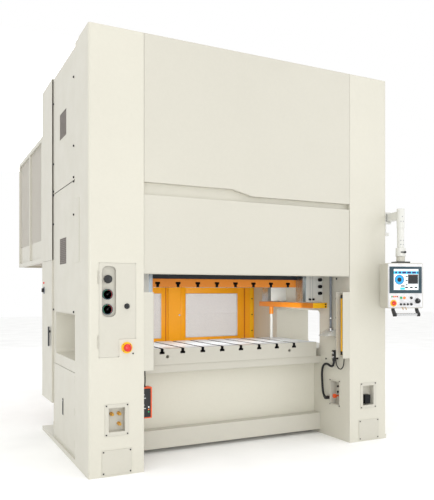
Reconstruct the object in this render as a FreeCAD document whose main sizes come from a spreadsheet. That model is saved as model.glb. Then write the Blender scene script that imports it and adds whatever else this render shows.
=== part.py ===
import FreeCAD, Part
import math
import os
import re
import Sketcher
from FreeCAD import Placement, Rotation, Vector

# Straight-side two-point servo stamping press.  Millimetres, +Z up, front towards -Y.
# Origin: on the floor, at the centre of the four anchor bolts.
SIZES = {
    # overall frame
    "overall_width": 2957, "overall_height": 3506, "front_reach": 832,
    "column_width": 448, "plate_thickness": 25, "front_post_depth": 439,
    "foot_thickness": 40, "foot_back": 1048, "corner_round": 20,
    "rear_post_front": 462, "rear_post_back": 986, "rear_post_inset": 200, "side_back": 558,
    "cover_inset": 18, "cover_thickness": 4, "overrun": 1,
    "anchor_inset": 100, "anchor_spacing_y": 1320, "anchor_hole": 42,
    # openings in the uprights
    "window_bottom": 855, "window_top": 1245, "window_front": -352, "window_round": 40,
    "bay_front": -342, "bay_back": 523, "bay_bottom": 73, "bay_top": 754,
    "upper_bay_bottom": 1270, "cap_thickness": 25,
    # bed and bolster
    "bed_bottom": 40, "bed_top": 785, "bed_reach": 367, "bed_web": 259, "bed_flange_bottom": 714,
    "bed_foot_top": 205, "bed_foot_reach": 362, "bed_plate": 30,
    "bolster_width": 1938, "bolster_depth": 760, "bolster_thickness": 145,
    "slot_pitch": 200, "slot_count": 8, "slot_neck": 28, "slot_head": 48, "slot_head_height": 21,
    "slot_depth": 48, "lifting_hole": 30, "lifting_depth": 60, "lifting_spacing": 1296,
    # crown
    "crown_face_setback": 42, "crown_face_bottom": 2200, "crown_floor": 2330, "crown_plate": 30,
    "crown_top_thickness": 25, "web_front": -230, "web_rear": 240, "rod_opening_half": 700,
    # drive
    "drive_height": 2905, "point_half": 480, "throw": 75, "shaft_radius": 70, "shaft_length": 510,
    "eccentric_radius": 170, "eccentric_front": -62, "gear_front": 70, "gear_width": 120,
    "gear_module": 20, "gear_teeth": 44, "pinion_teeth": 15, "running_clearance": 0.05,
    "lightening_radius": 65, "lightening_circle": 270, "lightening_count": 6,
    "rod_half_width": 60, "strap_wall": 75, "rod_shank": 150, "rod_shank_depth": 100,
    "rod_foot_height": 2100, "rod_shoulder_height": 2420, "screw_radius": 60, "ball_radius": 85,
    "pinion_shaft_radius": 55, "pinion_shaft_front": -200, "pinion_shaft_back": 700,
    "motor_radius": 235, "motor_length": 800, "motor_bore": 80, "motor_bore_depth": 170,
    "motor_flange_thickness": 30, "motor_step": 25, "cowl_length": 120, "rib_count": 9,
    "rib_start": 60, "rib_pitch": 66, "rib_width": 34, "rib_drop": 8, "shaft_overhang": 10,
    "terminal_box_width": 180, "terminal_box_front": 260, "terminal_box_length": 200,
    "terminal_box_bottom": 330, "terminal_box_top": 190, "motor_hole_gap": 8,
    # slide
    "slide_half_width": 828, "slide_half_depth": 270, "slide_bottom": 1480,
    "slide_plate_thickness": 76, "slide_top": 2230, "lug_clearance": 20.5, "lug_bottom": 1650,
    "pocket_half_width": 185, "pocket_half_depth": 120, "pocket_floor": 1985,
    "core_half_width": 190, "core_floor": 60, "well_half_width": 240, "well_half_depth": 225,
    "gib_reach": 235.5, "gib_depth": 130, "gib_face": 272, "gib_bottom": 1335, "gib_top": 2180,
    "guide_clearance": 0.3, "wear_bar_width": 38, "wear_bar_setback": 8,
    # front covers
    "joint_gap": 2, "sheet": 4, "upper_panel_edge": 2268, "upper_panel_step": 2317,
    "step_left": -228, "step_right": -32, "panel_flange": 20,
    "guard_bottom": 1580, "guard_top": 2217, "guard_setback": 5, "guard_lip": 15,
    # side covers
    "upper_cover_bottom": 2384, "upper_cover_drop": 10, "lower_cover_bottom": 1255,
    "lower_cover_top": 2376, "grille_width": 270, "grille_centre": 128,
    "upper_grille_bottom": 2838, "lower_grille_bottom": 1689, "grille_height": 235,
    "grille_sheet": 2, "grille_margin": 18,
    "strip_front": -541, "strip_bottom": 1678, "strip_top": 2204, "strip_sheet": 3,
    # service doors
    "door_thickness": 20, "door_gap": 2, "hinge_gap": 0.5, "door_split": 90,
    # rear housing and cage
    "housing_bottom": 1745, "housing_back": 1068, "cage_back": 2648, "cage_top": 3060,
    "cage_tube": 45, "cage_band_top": 1985, "mesh_sheet": 3, "cage_bays": 3,
    # control cabinet
    "cabinet_bottom": 355, "cabinet_back": 1063, "cabinet_door": 22,
    "handle_height": 190, "handle_width": 34, "handle_stand": 22, "handle_inset": 60, "handle_middle": 1000,
    "switch_height": 1453, "switch_y": 955, "switch_radius": 24, "switch_length": 26,
    # rear guard
    "guard_frame_front": 986, "guard_frame_depth": 40, "guard_frame_bottom": 765,
    "guard_frame_top": 1600, "right_guard_post": 123, "left_guard_post": 89, "guard_rail": 35,
    "mullion_left": 92, "mullion_right": 58,
    "pane_stile": 67, "pane_width": 677, "left_pane_stile": 85,
    "pane_bottom": 909, "pane_top": 1416, "pane_sheet": 6,
    # light curtain
    "channel_reach": 82, "channel_depth": 105, "channel_bottom": 805, "channel_top": 1434,
    "channel_sheet": 4, "curtain_width": 46, "curtain_depth": 44, "curtain_bottom": 830,
    "curtain_top": 1410,
    # orange side rail and its post
    "rail_bottom": 1273, "rail_top": 1325, "rail_inset": 169, "rail_sheet": 23,
    "rail_front": -476, "rail_back": 572, "post_y": 327, "post_radius": 15.5,
    "post_fitting_bottom": 1192, "post_fitting_radius": 24,
    # front controls on the left column
    "panel_left_inset": 82, "panel_right_inset": 380, "panel_bottom": 928, "panel_top": 1662,
    "notch_inset": 242, "notch_top": 1067, "panel_gap": 0.8, "panel_sheet": 6,
    "panel_round": 40, "slot_left_inset": 107, "slot_right_inset": 217, "slot_bottom": 1242, "slot_top": 1637,
    "gauge_plate_margin": 14, "gauge_inset": 152, "knob_z": 1536, "gauge_upper_z": 1418,
    "gauge_lower_z": 1301, "gauge_radius": 41.5, "knob_radius": 33,
    "key_inset": 306, "key_z": 1324, "key_radius": 22, "key_length": 22, "knob_reach": 22, "gauge_setback": 3,
    "stop_inset": 305, "stop_z": 998, "stop_plate_radius": 45, "stop_radius": 31,
    "stop_plate_thickness": 6, "stop_length": 40, "stop_stem_radius": 11, "stop_travel": 8,
    "stem_clearance": 0.3, "stem_length": 14, "stem_opening": 1.5, "head_gap": 2,
    # lower openings in the columns
    "recess_inset": 128, "recess_width": 194, "recess_bottom": 312, "recess_height": 250,
    "recess_border": 32, "recess_depth": 60, "recess_sheet": 3,
    "right_recess_inset": 322, "base_cover_inset": 105, "right_base_cover_inset": 339,
    "base_cover_width": 241, "base_cover_bottom": 15, "base_cover_height": 190,
    "base_opening_margin": 22, "valve_front": -671, "valve_back": -538, "valve_bottom": 330,
    "valve_top": 556, "valve_depth": 70, "coupler_radius": 15, "coupler_length": 48,
    "coupler_spread_x": 30, "coupler_spread_z": 40, "plug_rise": 12, "valve_rim": 14, "valve_radius": 16,
    "valve_length": 58, "valve_inset": 38, "valve_drop": 46, "valve_spacing": 54, "tap_radius": 20,
    "tap_rise": 76,
    "plug_width": 64, "plug_height": 84, "plug_length": 52,
    # conduit, shelf, boxes and cables on the inner sides
    "conduit_inset": 20.5, "conduit_y": -563, "conduit_radius": 12.5, "conduit_bottom": 1079,
    "conduit_top": 1640, "conduit_fitting_radius": 18, "conduit_fitting_bottom": 1009,
    "shelf_front": -620, "shelf_back": -500, "shelf_bottom": 1004, "shelf_rise": 61, "shelf_reach": 125,
    "shelf_gap": 0.8, "clip_height": 15,
    "block_front": -662, "block_back": -615, "block_bottom": 775, "block_top": 868, "block_reach": 50,
    "box_reach": 107, "box_front": -732, "box_depth": 90, "box_bottom": 402, "box_height": 254,
    "inlet_back": -493, "inlet_depth": 30, "inlet_bottom": 370, "cable_radius": 11, "wire_radius": 5,
    # fasteners
    "cover_screw_radius": 9, "cover_screw_height": 8, "cap_screw_radius": 17,
    "cap_screw_height": 30, "plate_screw_radius": 5.5, "plate_screw_height": 4,
    "plate_screw_inset": 12, "screw_drop": 242, "screw_rise": 288, "screw_edge": 22, "screw_middle": 835,
    "screw_inset": 95, "cap_screw_inset": 41.5, "cap_screw_spacing": 68, "cap_screw_rise": 86,
    "foot_screw_inset": 117.5, "foot_screw_spacing": 43, "foot_screw_rise": 26, "foot_screw_radius": 11,
    # operator pendant
    "pivot_reach": 60, "pivot_setback": 44, "tube_inset": 4, "tube_ahead": 203, "pendant_turn": -17.7,
    "bracket_bottom": 2110, "bracket_top": 2221, "lower_bracket_bottom": 1991,
    "lower_bracket_sheet": 30, "back_plate_sheet": 10, "arm_gap": 2, "elbow_height": 184, "elbow_wall": 4,
    "tube_drop": 10, "pivot_radius": 34, "pivot_pin_radius": 16,
    "arm_bottom": 2128, "arm_top": 2203, "arm_width": 62, "elbow_top": 2227, "tube_width": 65,
    "tube_bottom": 1853, "coupling_bottom": 1773, "coupling_radius": 46,
    "case_width": 355, "case_height": 425, "case_depth": 160, "case_top": 1707, "case_front": -95,
    "case_round": 14, "swivel_radius": 40, "clamp_thickness": 16,
    "bezel_width": 326, "bezel_height": 390, "bezel_thickness": 8,
    "screen_width": 214, "screen_height": 162, "screen_rise": 208, "screen_thickness": 3,
    "screen_centre": -20, "clamp_half_width": 70, "clamp_half_depth": 55,
    "handle_drop": 78, "handle_spread": 236, "handle_reach": 30, "handle_rise": 20, "handle_plate": 28,
    "grip_radius": 13, "grip_length": 190, "spigot_step": 3,
    "dial_x": 118, "dial_rise": 69, "dial_radius": 25, "dial_length": 26,
    "pendant_stop_x": -118, "pendant_stop_rise": 48, "pendant_stop_radius": 20, "pendant_stop_length": 24,
    "button_radius": 11, "button_length": 12, "button_rise": 99, "button_travel": 4, "button_stem": 7,
    "start_x": -47,
}

# Places kept at an inset from the frame's sides, front and top, in the words above.
PLACES = {
    "anchor_spacing_x": "(overall_width - 2 * anchor_inset)",
    "front_post_back": "(-front_reach + front_post_depth)",
    "upper_cover_top": "(overall_height - upper_cover_drop)",
    "lug_half_width": "(overall_width / 2 - column_width - lug_clearance)",
    "gib_inner": "(overall_width / 2 - column_width - gib_reach)",
    "rail_inner": "(overall_width / 2 - column_width - rail_inset)",
    "conduit_x": "(overall_width / 2 - column_width - conduit_inset)",
    "panel_left": "(-overall_width / 2 + panel_left_inset)",
    "panel_right": "(-overall_width / 2 + panel_right_inset)",
    "notch_left": "(-overall_width / 2 + notch_inset)",
    "slot_left": "(-overall_width / 2 + slot_left_inset)",
    "slot_right": "(-overall_width / 2 + slot_right_inset)",
    "gauge_x": "(-overall_width / 2 + gauge_inset)",
    "key_x": "(-overall_width / 2 + key_inset)",
    "stop_x": "(-overall_width / 2 + stop_inset)",
    "recess_left": "(-overall_width / 2 + recess_inset)",
    "right_recess_left": "(overall_width / 2 - right_recess_inset)",
    "base_cover_left": "(-overall_width / 2 + base_cover_inset)",
    "right_base_cover_left": "(overall_width / 2 - right_base_cover_inset)",
    "pivot_x": "(overall_width / 2 + pivot_reach)",
    "pivot_y": "(-front_reach + pivot_setback)",
    "tube_x": "(overall_width / 2 - tube_inset)",
    "tube_y": "(-front_reach - tube_ahead)",
}

doc = FreeCAD.newDocument("StampingPress")
sheet = doc.addObject("Spreadsheet::Sheet", "Sizes")
for row, (alias, size) in enumerate(SIZES.items(), start=1):
    sheet.set(f"A{row}", alias)
    sheet.set(f"B{row}", str(size))
    sheet.setAlias(f"B{row}", alias)
doc.recompute()

WORD = re.compile(r"[a-z][a-z_]*")
NODES = []


def bound(formula):
    """A formula in the sheet's words, written the way the document's expressions need it."""
    def expand(match):
        word = match.group()
        if word in PLACES:
            return bound(PLACES[word])
        return "Sizes." + word if word in SIZES else word

    return WORD.sub(expand, str(formula))


def number(formula):
    """The present value of a formula in the sheet's words."""
    return float(sheet.evalExpression(bound(formula)))


def set_place(item, place, rotation=None):
    """Bind an object's place to three formulas; the rotation is kept as given."""
    item.Placement = Placement(Vector(), rotation or Rotation())
    for axis, formula in zip("xyz", place):
        item.setExpression(f"Placement.Base.{axis}", bound(formula))


# ---------------------------------------------------------------- plain solids and booleans
def box(x, y, z):
    """A block between pairs of formulas along each axis."""
    item = doc.addObject("Part::Box", "Block")
    for side, (low, high) in zip(("Length", "Width", "Height"), (x, y, z)):
        item.setExpression(side, bound(f"({high}) - ({low})"))
    set_place(item, (x[0], y[0], z[0]))
    return item


AXES = {"x": Vector(1, 0, 0), "y": Vector(0, 1, 0), "z": Vector(0, 0, 1)}


def rod(axis, centre, low, high, radius):
    """A cylinder along an axis, between two formulas; centre is the other two coordinates."""
    item = doc.addObject("Part::Cylinder", "Round")
    item.setExpression("Radius", bound(radius))
    item.setExpression("Height", bound(f"({high}) - ({low})"))
    place = list(centre)
    place.insert("xyz".index(axis), low)
    set_place(item, place, Rotation(AXES["z"], AXES[axis]))
    return item


def ball(place, radius):
    item = doc.addObject("Part::Sphere", "Ball")
    item.setExpression("Radius", bound(radius))
    set_place(item, place)
    return item


def fuse(*items):
    item = doc.addObject("Part::MultiFuse", "Join")
    item.Shapes = list(items)
    item.Refine = True
    return item


def cut(base, *tools):
    item = doc.addObject("Part::Cut", "Cut")
    item.Base = base
    item.Tool = tools[0] if len(tools) == 1 else fuse(*tools)
    item.Refine = True
    return item


def group(items):
    item = doc.addObject("Part::Compound", "Group")
    item.Links = list(items)
    return item


def node(label, item):
    item.Label = label
    NODES.append(item)
    return item


def span(side, near, far):
    """Two formulas in order for a stretch from near to far on the left (-1) or right (+1)."""
    if side > 0:
        return (near, far)
    return (f"-({far})", f"-({near})")


# ---------------------------------------------------------------- sketched bodies
PLANES = {"z": "XY_Plane", "y": "XZ_Plane", "x": "YZ_Plane"}


def new_sketch(body, axis, low, high):
    """A sketch across an axis, where a feature of length high - low grows along its normal."""
    sketch = body.newObject("Sketcher::SketchObject", "Outline")
    plane = next(f for f in body.Origin.OriginFeatures if f.Role == PLANES[axis])
    sketch.AttachmentSupport = [(plane, "")]
    sketch.MapMode = "FlatFace"
    start = f"-({high})" if axis == "y" else low
    sketch.setExpression("AttachmentOffset.Base.z", bound(start))
    return sketch


def pin_point(sketch, index, end, x, y):
    """Hold a point of the sketch at two formulas from its origin."""
    for kind, formula in (("DistanceX", x), ("DistanceY", y)):
        which = sketch.addConstraint(Sketcher.Constraint(kind, -1, 1, index, end, number(formula)))
        sketch.setExpression(f"Constraints[{which}]", bound(formula))


def draw_polygon(sketch, corners):
    points = [Vector(number(x), number(y), 0) for x, y in corners]
    first = sketch.GeometryCount
    count = len(points)
    for i in range(count):
        sketch.addGeometry(Part.LineSegment(points[i], points[(i + 1) % count]), False)
    for i in range(count):
        sketch.addConstraint(Sketcher.Constraint("Coincident", first + i, 2, first + (i + 1) % count, 1))
    for i, (x, y) in enumerate(corners):
        pin_point(sketch, first + i, 1, x, y)


def draw_circle(sketch, x, y, radius):
    circle = Part.Circle(Vector(number(x), number(y), 0), Vector(0, 0, 1), number(radius))
    index = sketch.addGeometry(circle, False)
    which = sketch.addConstraint(Sketcher.Constraint("Radius", index, number(radius)))
    sketch.setExpression(f"Constraints[{which}]", bound(radius))
    pin_point(sketch, index, 3, x, y)


def rectangle(x, y):
    return [(x[0], y[0]), (x[1], y[0]), (x[1], y[1]), (x[0], y[1])]


def pad(body, axis, outline, low, high):
    sketch = new_sketch(body, axis, low, high)
    draw_polygon(sketch, outline)
    feature = body.newObject("PartDesign::Pad", "Pad")
    feature.Profile = sketch
    feature.setExpression("Length", bound(f"({high}) - ({low})"))
    body.Tip = feature
    return feature


def pocket(body, axis, low, high, outline=None, circles=()):
    sketch = new_sketch(body, axis, low, high)
    if outline:
        draw_polygon(sketch, outline)
    for circle in circles:
        draw_circle(sketch, *circle)
    feature = body.newObject("PartDesign::Pocket", "Pocket")
    feature.Profile = sketch
    feature.Reversed = True
    feature.setExpression("Length", bound(f"({high}) - ({low})"))
    body.Tip = feature
    return feature


def repeat(body, feature, axis_role, formula_step, count):
    """Repeat a feature in a straight row."""
    row_pattern = body.newObject("PartDesign::LinearPattern", "Row")
    row_pattern.Originals = [feature]
    axis = next(f for f in body.Origin.OriginFeatures if f.Role == axis_role)
    row_pattern.Direction = (axis, [""])
    row_pattern.setExpression("Occurrences", bound(count))
    row_pattern.setExpression("Length", bound(f"({formula_step}) * ({count} - 1)"))
    body.Tip = row_pattern
    return row_pattern


def round_edges(body, axis, corners, radius):
    """Fillet the edges that run along an axis through the given pairs of formulas."""
    doc.recompute()
    base = body.Tip
    shape = base.Shape
    others = [i for i in range(3) if "xyz"[i] != axis]
    targets = [tuple(number(f) for f in corner) for corner in corners]
    names = []
    for i, edge in enumerate(shape.Edges, start=1):
        if not isinstance(edge.Curve, Part.Line) or abs(edge.Curve.Direction.dot(AXES[axis])) < 0.999:
            continue
        middle = edge.CenterOfMass
        if any(math.dist((middle[others[0]], middle[others[1]]), t) < 0.01 for t in targets):
            names.append(f"Edge{i}")
    feature = body.newObject("PartDesign::Fillet", "Round")
    feature.Base = (base, names)
    feature.setExpression("Radius", bound(radius))
    body.Tip = feature


def new_body():
    return doc.addObject("PartDesign::Body", "Body")


def plate(axis, outline, low, high, corners=(), radius=None):
    """A padded outline, with the named corners rounded."""
    body = new_body()
    pad(body, axis, outline, low, high)
    if corners:
        round_edges(body, axis, corners, radius)
    return body


def turned(profile, place, rotation=None):
    """A turned piece: pairs of radius and height, turned about its own +Z, set at a place."""
    body = new_body()
    sketch = new_sketch(body, "y", "0", "0")
    draw_polygon(sketch, profile)
    feature = body.newObject("PartDesign::Revolution", "Turn")
    feature.Profile = sketch
    feature.ReferenceAxis = (sketch, ["V_Axis"])
    feature.Angle = 360
    body.Tip = feature
    set_place(body, place, rotation)
    return body


FACING_FRONT = Rotation(Vector(0, 0, 1), Vector(0, -1, 0))
FACING_LEFT = Rotation(Vector(0, 0, 1), Vector(-1, 0, 0))
FACING_RIGHT = Rotation(Vector(0, 0, 1), Vector(1, 0, 0))
FRONT = "-front_reach"
OUTER = "overall_width / 2"
INNER = "(overall_width / 2 - column_width)"
SIDE_NAMES = {-1: "left", 1: "right"}


# ---------------------------------------------------------------- frame
def upright(side):
    """Welded side frame: front post, window bay, rear post, foot plate and top plate."""
    outer_side = f"({OUTER} - cover_inset)"
    x = span(side, INNER, OUTER)
    front_corners = [(f"{side} * {OUTER}", FRONT)]
    post = plate("z", rectangle(x, (FRONT, "front_post_back")), "foot_thickness", "overall_height",
                 front_corners, "corner_round")
    middle = box(span(side, INNER, outer_side), ("front_post_back", "side_back"),
                 ("foot_thickness", "overall_height"))
    rear = box(span(side, INNER, f"{OUTER} - rear_post_inset"), ("side_back", "rear_post_back"),
               ("foot_thickness", "housing_bottom"))
    foot = box(x, (FRONT, "foot_back"), ("0", "foot_thickness"))
    wall = "plate_thickness"
    hollow_x = span(side, f"{INNER} + {wall}", f"{OUTER} - {wall}")
    bay_x = span(side, f"{INNER} + {wall}", OUTER)
    window_x = span(side, f"{INNER} - {wall}", OUTER)
    window = plate("x", rectangle(("window_front", "rear_post_front"), ("window_bottom", "window_top")),
                   window_x[0], window_x[1],
                   [(a, b) for a in ("window_front", "rear_post_front")
                    for b in ("window_bottom", "window_top")], "window_round")
    cuts = [
        window,
        box(hollow_x, (f"{FRONT} + {wall}", f"front_post_back - {wall}"),
            ("foot_thickness", "overall_height - cap_thickness")),
        box(bay_x, ("bay_front", "bay_back"), ("bay_bottom", "bay_top")),
        box(bay_x, ("bay_front", "bay_back"), ("upper_bay_bottom", "overall_height - cap_thickness")),
        box(span(side, f"{INNER} + {wall}", f"{OUTER} - rear_post_inset - {wall}"),
            (f"side_back + {wall}", f"rear_post_back - {wall}"),
            ("foot_thickness", f"housing_bottom - {wall}")),
    ]
    for y in ("-anchor_spacing_y / 2", "anchor_spacing_y / 2"):
        cuts.append(rod("z", (f"{side} * anchor_spacing_x / 2", y), "-overrun", "foot_thickness + overrun",
                        "anchor_hole / 2"))
    cuts += front_openings(side)
    node(f"{SIDE_NAMES[side]}_upright", cut(fuse(post, middle, rear, foot), *cuts))


def front_openings(side):
    """Openings through the front wall of a column, for its recess, base cover and panel."""
    depth = (f"{FRONT} - overrun", f"{FRONT} + plate_thickness + overrun")
    recess_left = "recess_left" if side < 0 else "right_recess_left"
    cover_left = "base_cover_left" if side < 0 else "right_base_cover_left"
    gap = "panel_gap"
    openings = [
        box((f"{recess_left} + recess_border - recess_sheet - {gap}",
             f"{recess_left} + recess_width - recess_border + recess_sheet + {gap}"), depth,
            (f"recess_bottom + recess_border - recess_sheet - {gap}",
             f"recess_bottom + recess_height - recess_border + recess_sheet + {gap}")),
        box((f"{cover_left} + base_opening_margin",
             f"{cover_left} + base_cover_width - base_opening_margin"), depth,
            ("base_cover_bottom + foot_thickness",
             "base_cover_bottom + base_cover_height - base_opening_margin")),
    ]
    if side < 0:
        openings.append(plate("y", panel_outline(gap), depth[0], depth[1]))
        openings.append(rod("y", ("stop_x", "stop_z"), depth[0], depth[1], "stop_stem_radius + stem_opening"))
    else:
        edge = "(recess_sheet + panel_gap)"
        openings.append(box((f"{INNER} - overrun", f"{INNER} + plate_thickness + overrun"),
                            (f"valve_front - {edge}", f"valve_back + {edge}"),
                            (f"valve_bottom - {edge}", f"valve_top + {edge}")))
    return openings


def panel_outline(grow):
    """The notched outline of the control door, grown by a gap."""
    return [(f"panel_left - {grow}", f"panel_bottom - {grow}"),
            (f"notch_left + {grow}", f"panel_bottom - {grow}"),
            (f"notch_left + {grow}", f"notch_top - {grow}"),
            (f"panel_right + {grow}", f"notch_top - {grow}"),
            (f"panel_right + {grow}", f"panel_top + {grow}"),
            (f"panel_left - {grow}", f"panel_top + {grow}")]


def bed():
    """Welded bed: an I-shaped section across the press, hollow inside, open to the ends."""
    x = (f"-{INNER}", INNER)
    body = new_body()
    right = [("bed_foot_reach", "bed_bottom"), ("bed_foot_reach", "bed_foot_top"),
             ("bed_web", "bed_foot_top"), ("bed_web", "bed_flange_bottom"),
             ("bed_reach", "bed_flange_bottom"), ("bed_reach", "bed_top")]
    left = [(f"-{y}", z) for y, z in reversed(right)]
    pad(body, "x", right + left, x[0], x[1])
    hollow = rectangle(("-bed_web + bed_plate", "bed_web - bed_plate"),
                       ("bed_bottom + bed_plate", "bed_top - bed_plate"))
    pocket(body, "x", f"-{INNER} + bed_plate", f"{INNER} - bed_plate", hollow)
    node("bed", body)


def slotted(body, first_x, low, high, opening, inner, head_inner, head_outer):
    """Cut T-slots front to back: a neck from the open face and a wider head below it."""
    for half, a, b in (("slot_neck / 2", opening, inner), ("slot_head / 2", head_outer, head_inner)):
        outline = rectangle((f"{first_x} - {half}", f"{first_x} + {half}"), (a, b))
        feature = pocket(body, "y", low, high, outline)
        repeat(body, feature, "X_Axis", "slot_pitch", "slot_count")


def bolster():
    """Bolster plate with T-slots in its top and two lifting holes in its front."""
    body = new_body()
    half = "bolster_depth / 2"
    top = "bed_top + bolster_thickness"
    pad(body, "y", rectangle(("-bolster_width / 2", "bolster_width / 2"), ("bed_top", top)),
        f"-{half}", half)
    first = "-slot_pitch * (slot_count - 1) / 2"
    slotted(body, first, f"-{half} - overrun", f"{half} + overrun", f"{top} - slot_depth", f"{top} + overrun",
            f"{top} - slot_depth + slot_head_height", f"{top} - slot_depth")
    height = "bed_top + bolster_thickness / 2"
    holes = [(f"{s} * lifting_spacing / 2", height, "lifting_hole / 2") for s in (-1, 1)]
    pocket(body, "y", f"-{half}", f"-{half} + lifting_depth", circles=holes)
    node("bolster_plate", body)


def crown():
    """Welded crown between the uprights: face, webs, rear plate, floor, ends and top."""
    x = (f"-{INNER}", INNER)
    face = f"({FRONT} + crown_face_setback)"
    top = "overall_height"
    under_top = f"{top} - crown_top_thickness"
    t = "crown_plate"
    plates = [
        box(x, (face, f"{face} + {t}"), ("crown_face_bottom", under_top)),
        box(x, ("web_front", f"web_front + {t}"), ("crown_floor", under_top)),
        box(x, ("web_rear", f"web_rear + {t}"), ("crown_floor", under_top)),
        box(x, (f"side_back - {t}", "side_back"), ("housing_bottom", under_top)),
        box(x, (face, "side_back"), (under_top, top)),
        box(x, (face, "side_back"), ("crown_floor", f"crown_floor + {t}")),
    ]
    for side in (-1, 1):
        plates.append(box(span(side, f"{INNER} - {t}", INNER), (face, "side_back"),
                          ("crown_floor", under_top)))
    holes = [box(("-rod_opening_half", "rod_opening_half"),
                 (f"web_front + {t} + overrun", "web_rear - overrun"),
                 ("crown_floor - overrun", f"crown_floor + {t} + overrun"))]
    for side in (-1, 1):
        holes.append(rod("y", (f"{side} * point_half", "drive_height"), "web_front - overrun",
                         f"web_rear + {t} + overrun", "shaft_radius"))
    holes.append(rod("y", ("0", pinion_height()), "web_front - overrun", "side_back + overrun",
                     "pinion_shaft_radius + running_clearance"))
    node("crown", cut(fuse(*plates), *holes))


def pinion_height():
    centres = "(gear_module * (gear_teeth + pinion_teeth) / 2)"
    return f"(drive_height - sqrt({centres} ^ 2 - point_half ^ 2))"


# ---------------------------------------------------------------- drive
# Half-widths of a tooth at the root, pitch and tip circles, as shares of the tooth pitch.
TOOTH_ROOT = 0.34
TOOTH_PITCH = 0.22
TOOTH_TIP = 0.11
ROOT_DEPTH = 1.25


def gear_outline(teeth, turn):
    """Closed wire of straight-flanked teeth about the origin, in the XZ plane."""
    module = number("gear_module")
    pitch = module * teeth / 2
    root = pitch - ROOT_DEPTH * module
    tip = pitch + module
    step = 2 * math.pi / teeth
    flank = [(root, -TOOTH_ROOT), (pitch, -TOOTH_PITCH), (tip, -TOOTH_TIP)]
    flank += [(radius, -share) for radius, share in reversed(flank)]
    points = []
    for i in range(teeth):
        middle = turn + i * step
        for radius, share in flank:
            angle = middle + share * step
            points.append(Vector(radius * math.cos(angle), 0, radius * math.sin(angle)))
    points.append(points[0])
    return Part.makePolygon(points)


def tooth_turns():
    """Tooth directions that put both gears in mesh with the pinion below and between them."""
    drop = number("drive_height") - number(pinion_height())
    lean = math.atan2(drop, number("point_half"))
    share = number("pinion_teeth") / number("gear_teeth")
    pitch = 2 * math.pi / number("pinion_teeth")
    pinion_turn = math.pi - lean + pitch / 2
    past_gap = (lean - (pinion_turn + pitch / 2)) % pitch
    return -lean, pinion_turn, math.pi + lean + past_gap * share


def gear_disc(teeth, turn, x, z):
    """Toothed disc as wide as the gear face."""
    face = Part.Face(gear_outline(teeth, turn))
    item = doc.addObject("Part::Feature", "Teeth")
    item.Shape = face.extrude(Vector(0, number("gear_width"), 0))
    set_place(item, (x, "gear_front", z))
    return item


def eccentric_gear(side, turn):
    """One casting: toothed disc with an eccentric in front, bored for the fixed shaft."""
    x = f"{side} * point_half"
    back = "gear_front + gear_width"
    disc = gear_disc(int(number("gear_teeth")), turn, x, "drive_height")
    eccentric = rod("y", (x, "drive_height + throw"), "eccentric_front", "gear_front", "eccentric_radius")
    bore = rod("y", (x, "drive_height"), "eccentric_front - overrun", f"{back} + overrun",
               "shaft_radius + running_clearance")
    holes = []
    for i in range(int(number("lightening_count"))):
        angle = 30 + 60 * i
        holes.append(rod("y", (f"{x} + lightening_circle * cos({angle} deg)",
                               f"drive_height + lightening_circle * sin({angle} deg)"),
                         "gear_front - overrun", f"{back} + overrun", "lightening_radius"))
    gear = cut(fuse(cut(disc, *holes), eccentric), bore)
    node(f"{SIDE_NAMES[side]}_eccentric_gear", gear)


def connecting_rod(side):
    """Strap round the eccentric, shank, adjusting screw and ball foot."""
    x = f"{side} * point_half"
    centre = "(drive_height + throw)"
    y = ("-rod_half_width", "rod_half_width")
    strap = rod("y", (x, centre), y[0], y[1], "eccentric_radius + strap_wall")
    shank = box((f"{x} - rod_shank / 2", f"{x} + rod_shank / 2"),
                ("-rod_shank_depth / 2", "rod_shank_depth / 2"), ("rod_shoulder_height", centre))
    screw = rod("z", (x, "0"), "rod_foot_height", "rod_shoulder_height", "screw_radius")
    foot = ball((x, "0", "rod_foot_height"), "ball_radius")
    bore = rod("y", (x, centre), f"{y[0]} - overrun", f"{y[1]} + overrun",
               "eccentric_radius + running_clearance")
    node(f"{SIDE_NAMES[side]}_connecting_rod", cut(fuse(strap, shank, screw, foot), bore))


def drive():
    left_turn, pinion_turn, right_turn = tooth_turns()
    eccentric_gear(-1, left_turn)
    eccentric_gear(1, right_turn)
    for side in (-1, 1):
        connecting_rod(side)
    shafts = [rod("y", (f"{side} * point_half", "drive_height"), "web_front - shaft_overhang",
                  "web_front - shaft_overhang + shaft_length", "shaft_radius") for side in (-1, 1)]
    node("gear_shafts", group(shafts))
    teeth = gear_disc(int(number("pinion_teeth")), pinion_turn, "0", pinion_height())
    shaft = rod("y", ("0", pinion_height()), "pinion_shaft_front", "pinion_shaft_back",
                "pinion_shaft_radius")
    node("drive_pinion", fuse(teeth, shaft))
    motor()


def motor():
    """Servo motor: flange, ribbed housing and rear fan cowl, bored for the pinion shaft."""
    z = pinion_height()
    back = "side_back + motor_length"
    parts = [
        rod("y", ("0", z), "side_back", back, "motor_radius - motor_step"),
        rod("y", ("0", z), "side_back", "side_back + motor_flange_thickness", "motor_radius"),
        rod("y", ("0", z), f"{back} - cowl_length", back, "motor_radius"),
        box(("-terminal_box_width / 2", "terminal_box_width / 2"),
            ("side_back + terminal_box_front", "side_back + terminal_box_front + terminal_box_length"),
            (f"{z} - terminal_box_bottom", f"{z} - terminal_box_top")),
    ]
    for i in range(int(number("rib_count"))):
        start = f"side_back + rib_start + {i} * rib_pitch"
        parts.append(rod("y", ("0", z), start, f"{start} + rib_width", "motor_radius - rib_drop"))
    bore = rod("y", ("0", z), "side_back - overrun", "side_back + motor_bore_depth", "motor_bore")
    node("servo_motor", cut(fuse(*parts), bore))


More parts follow.
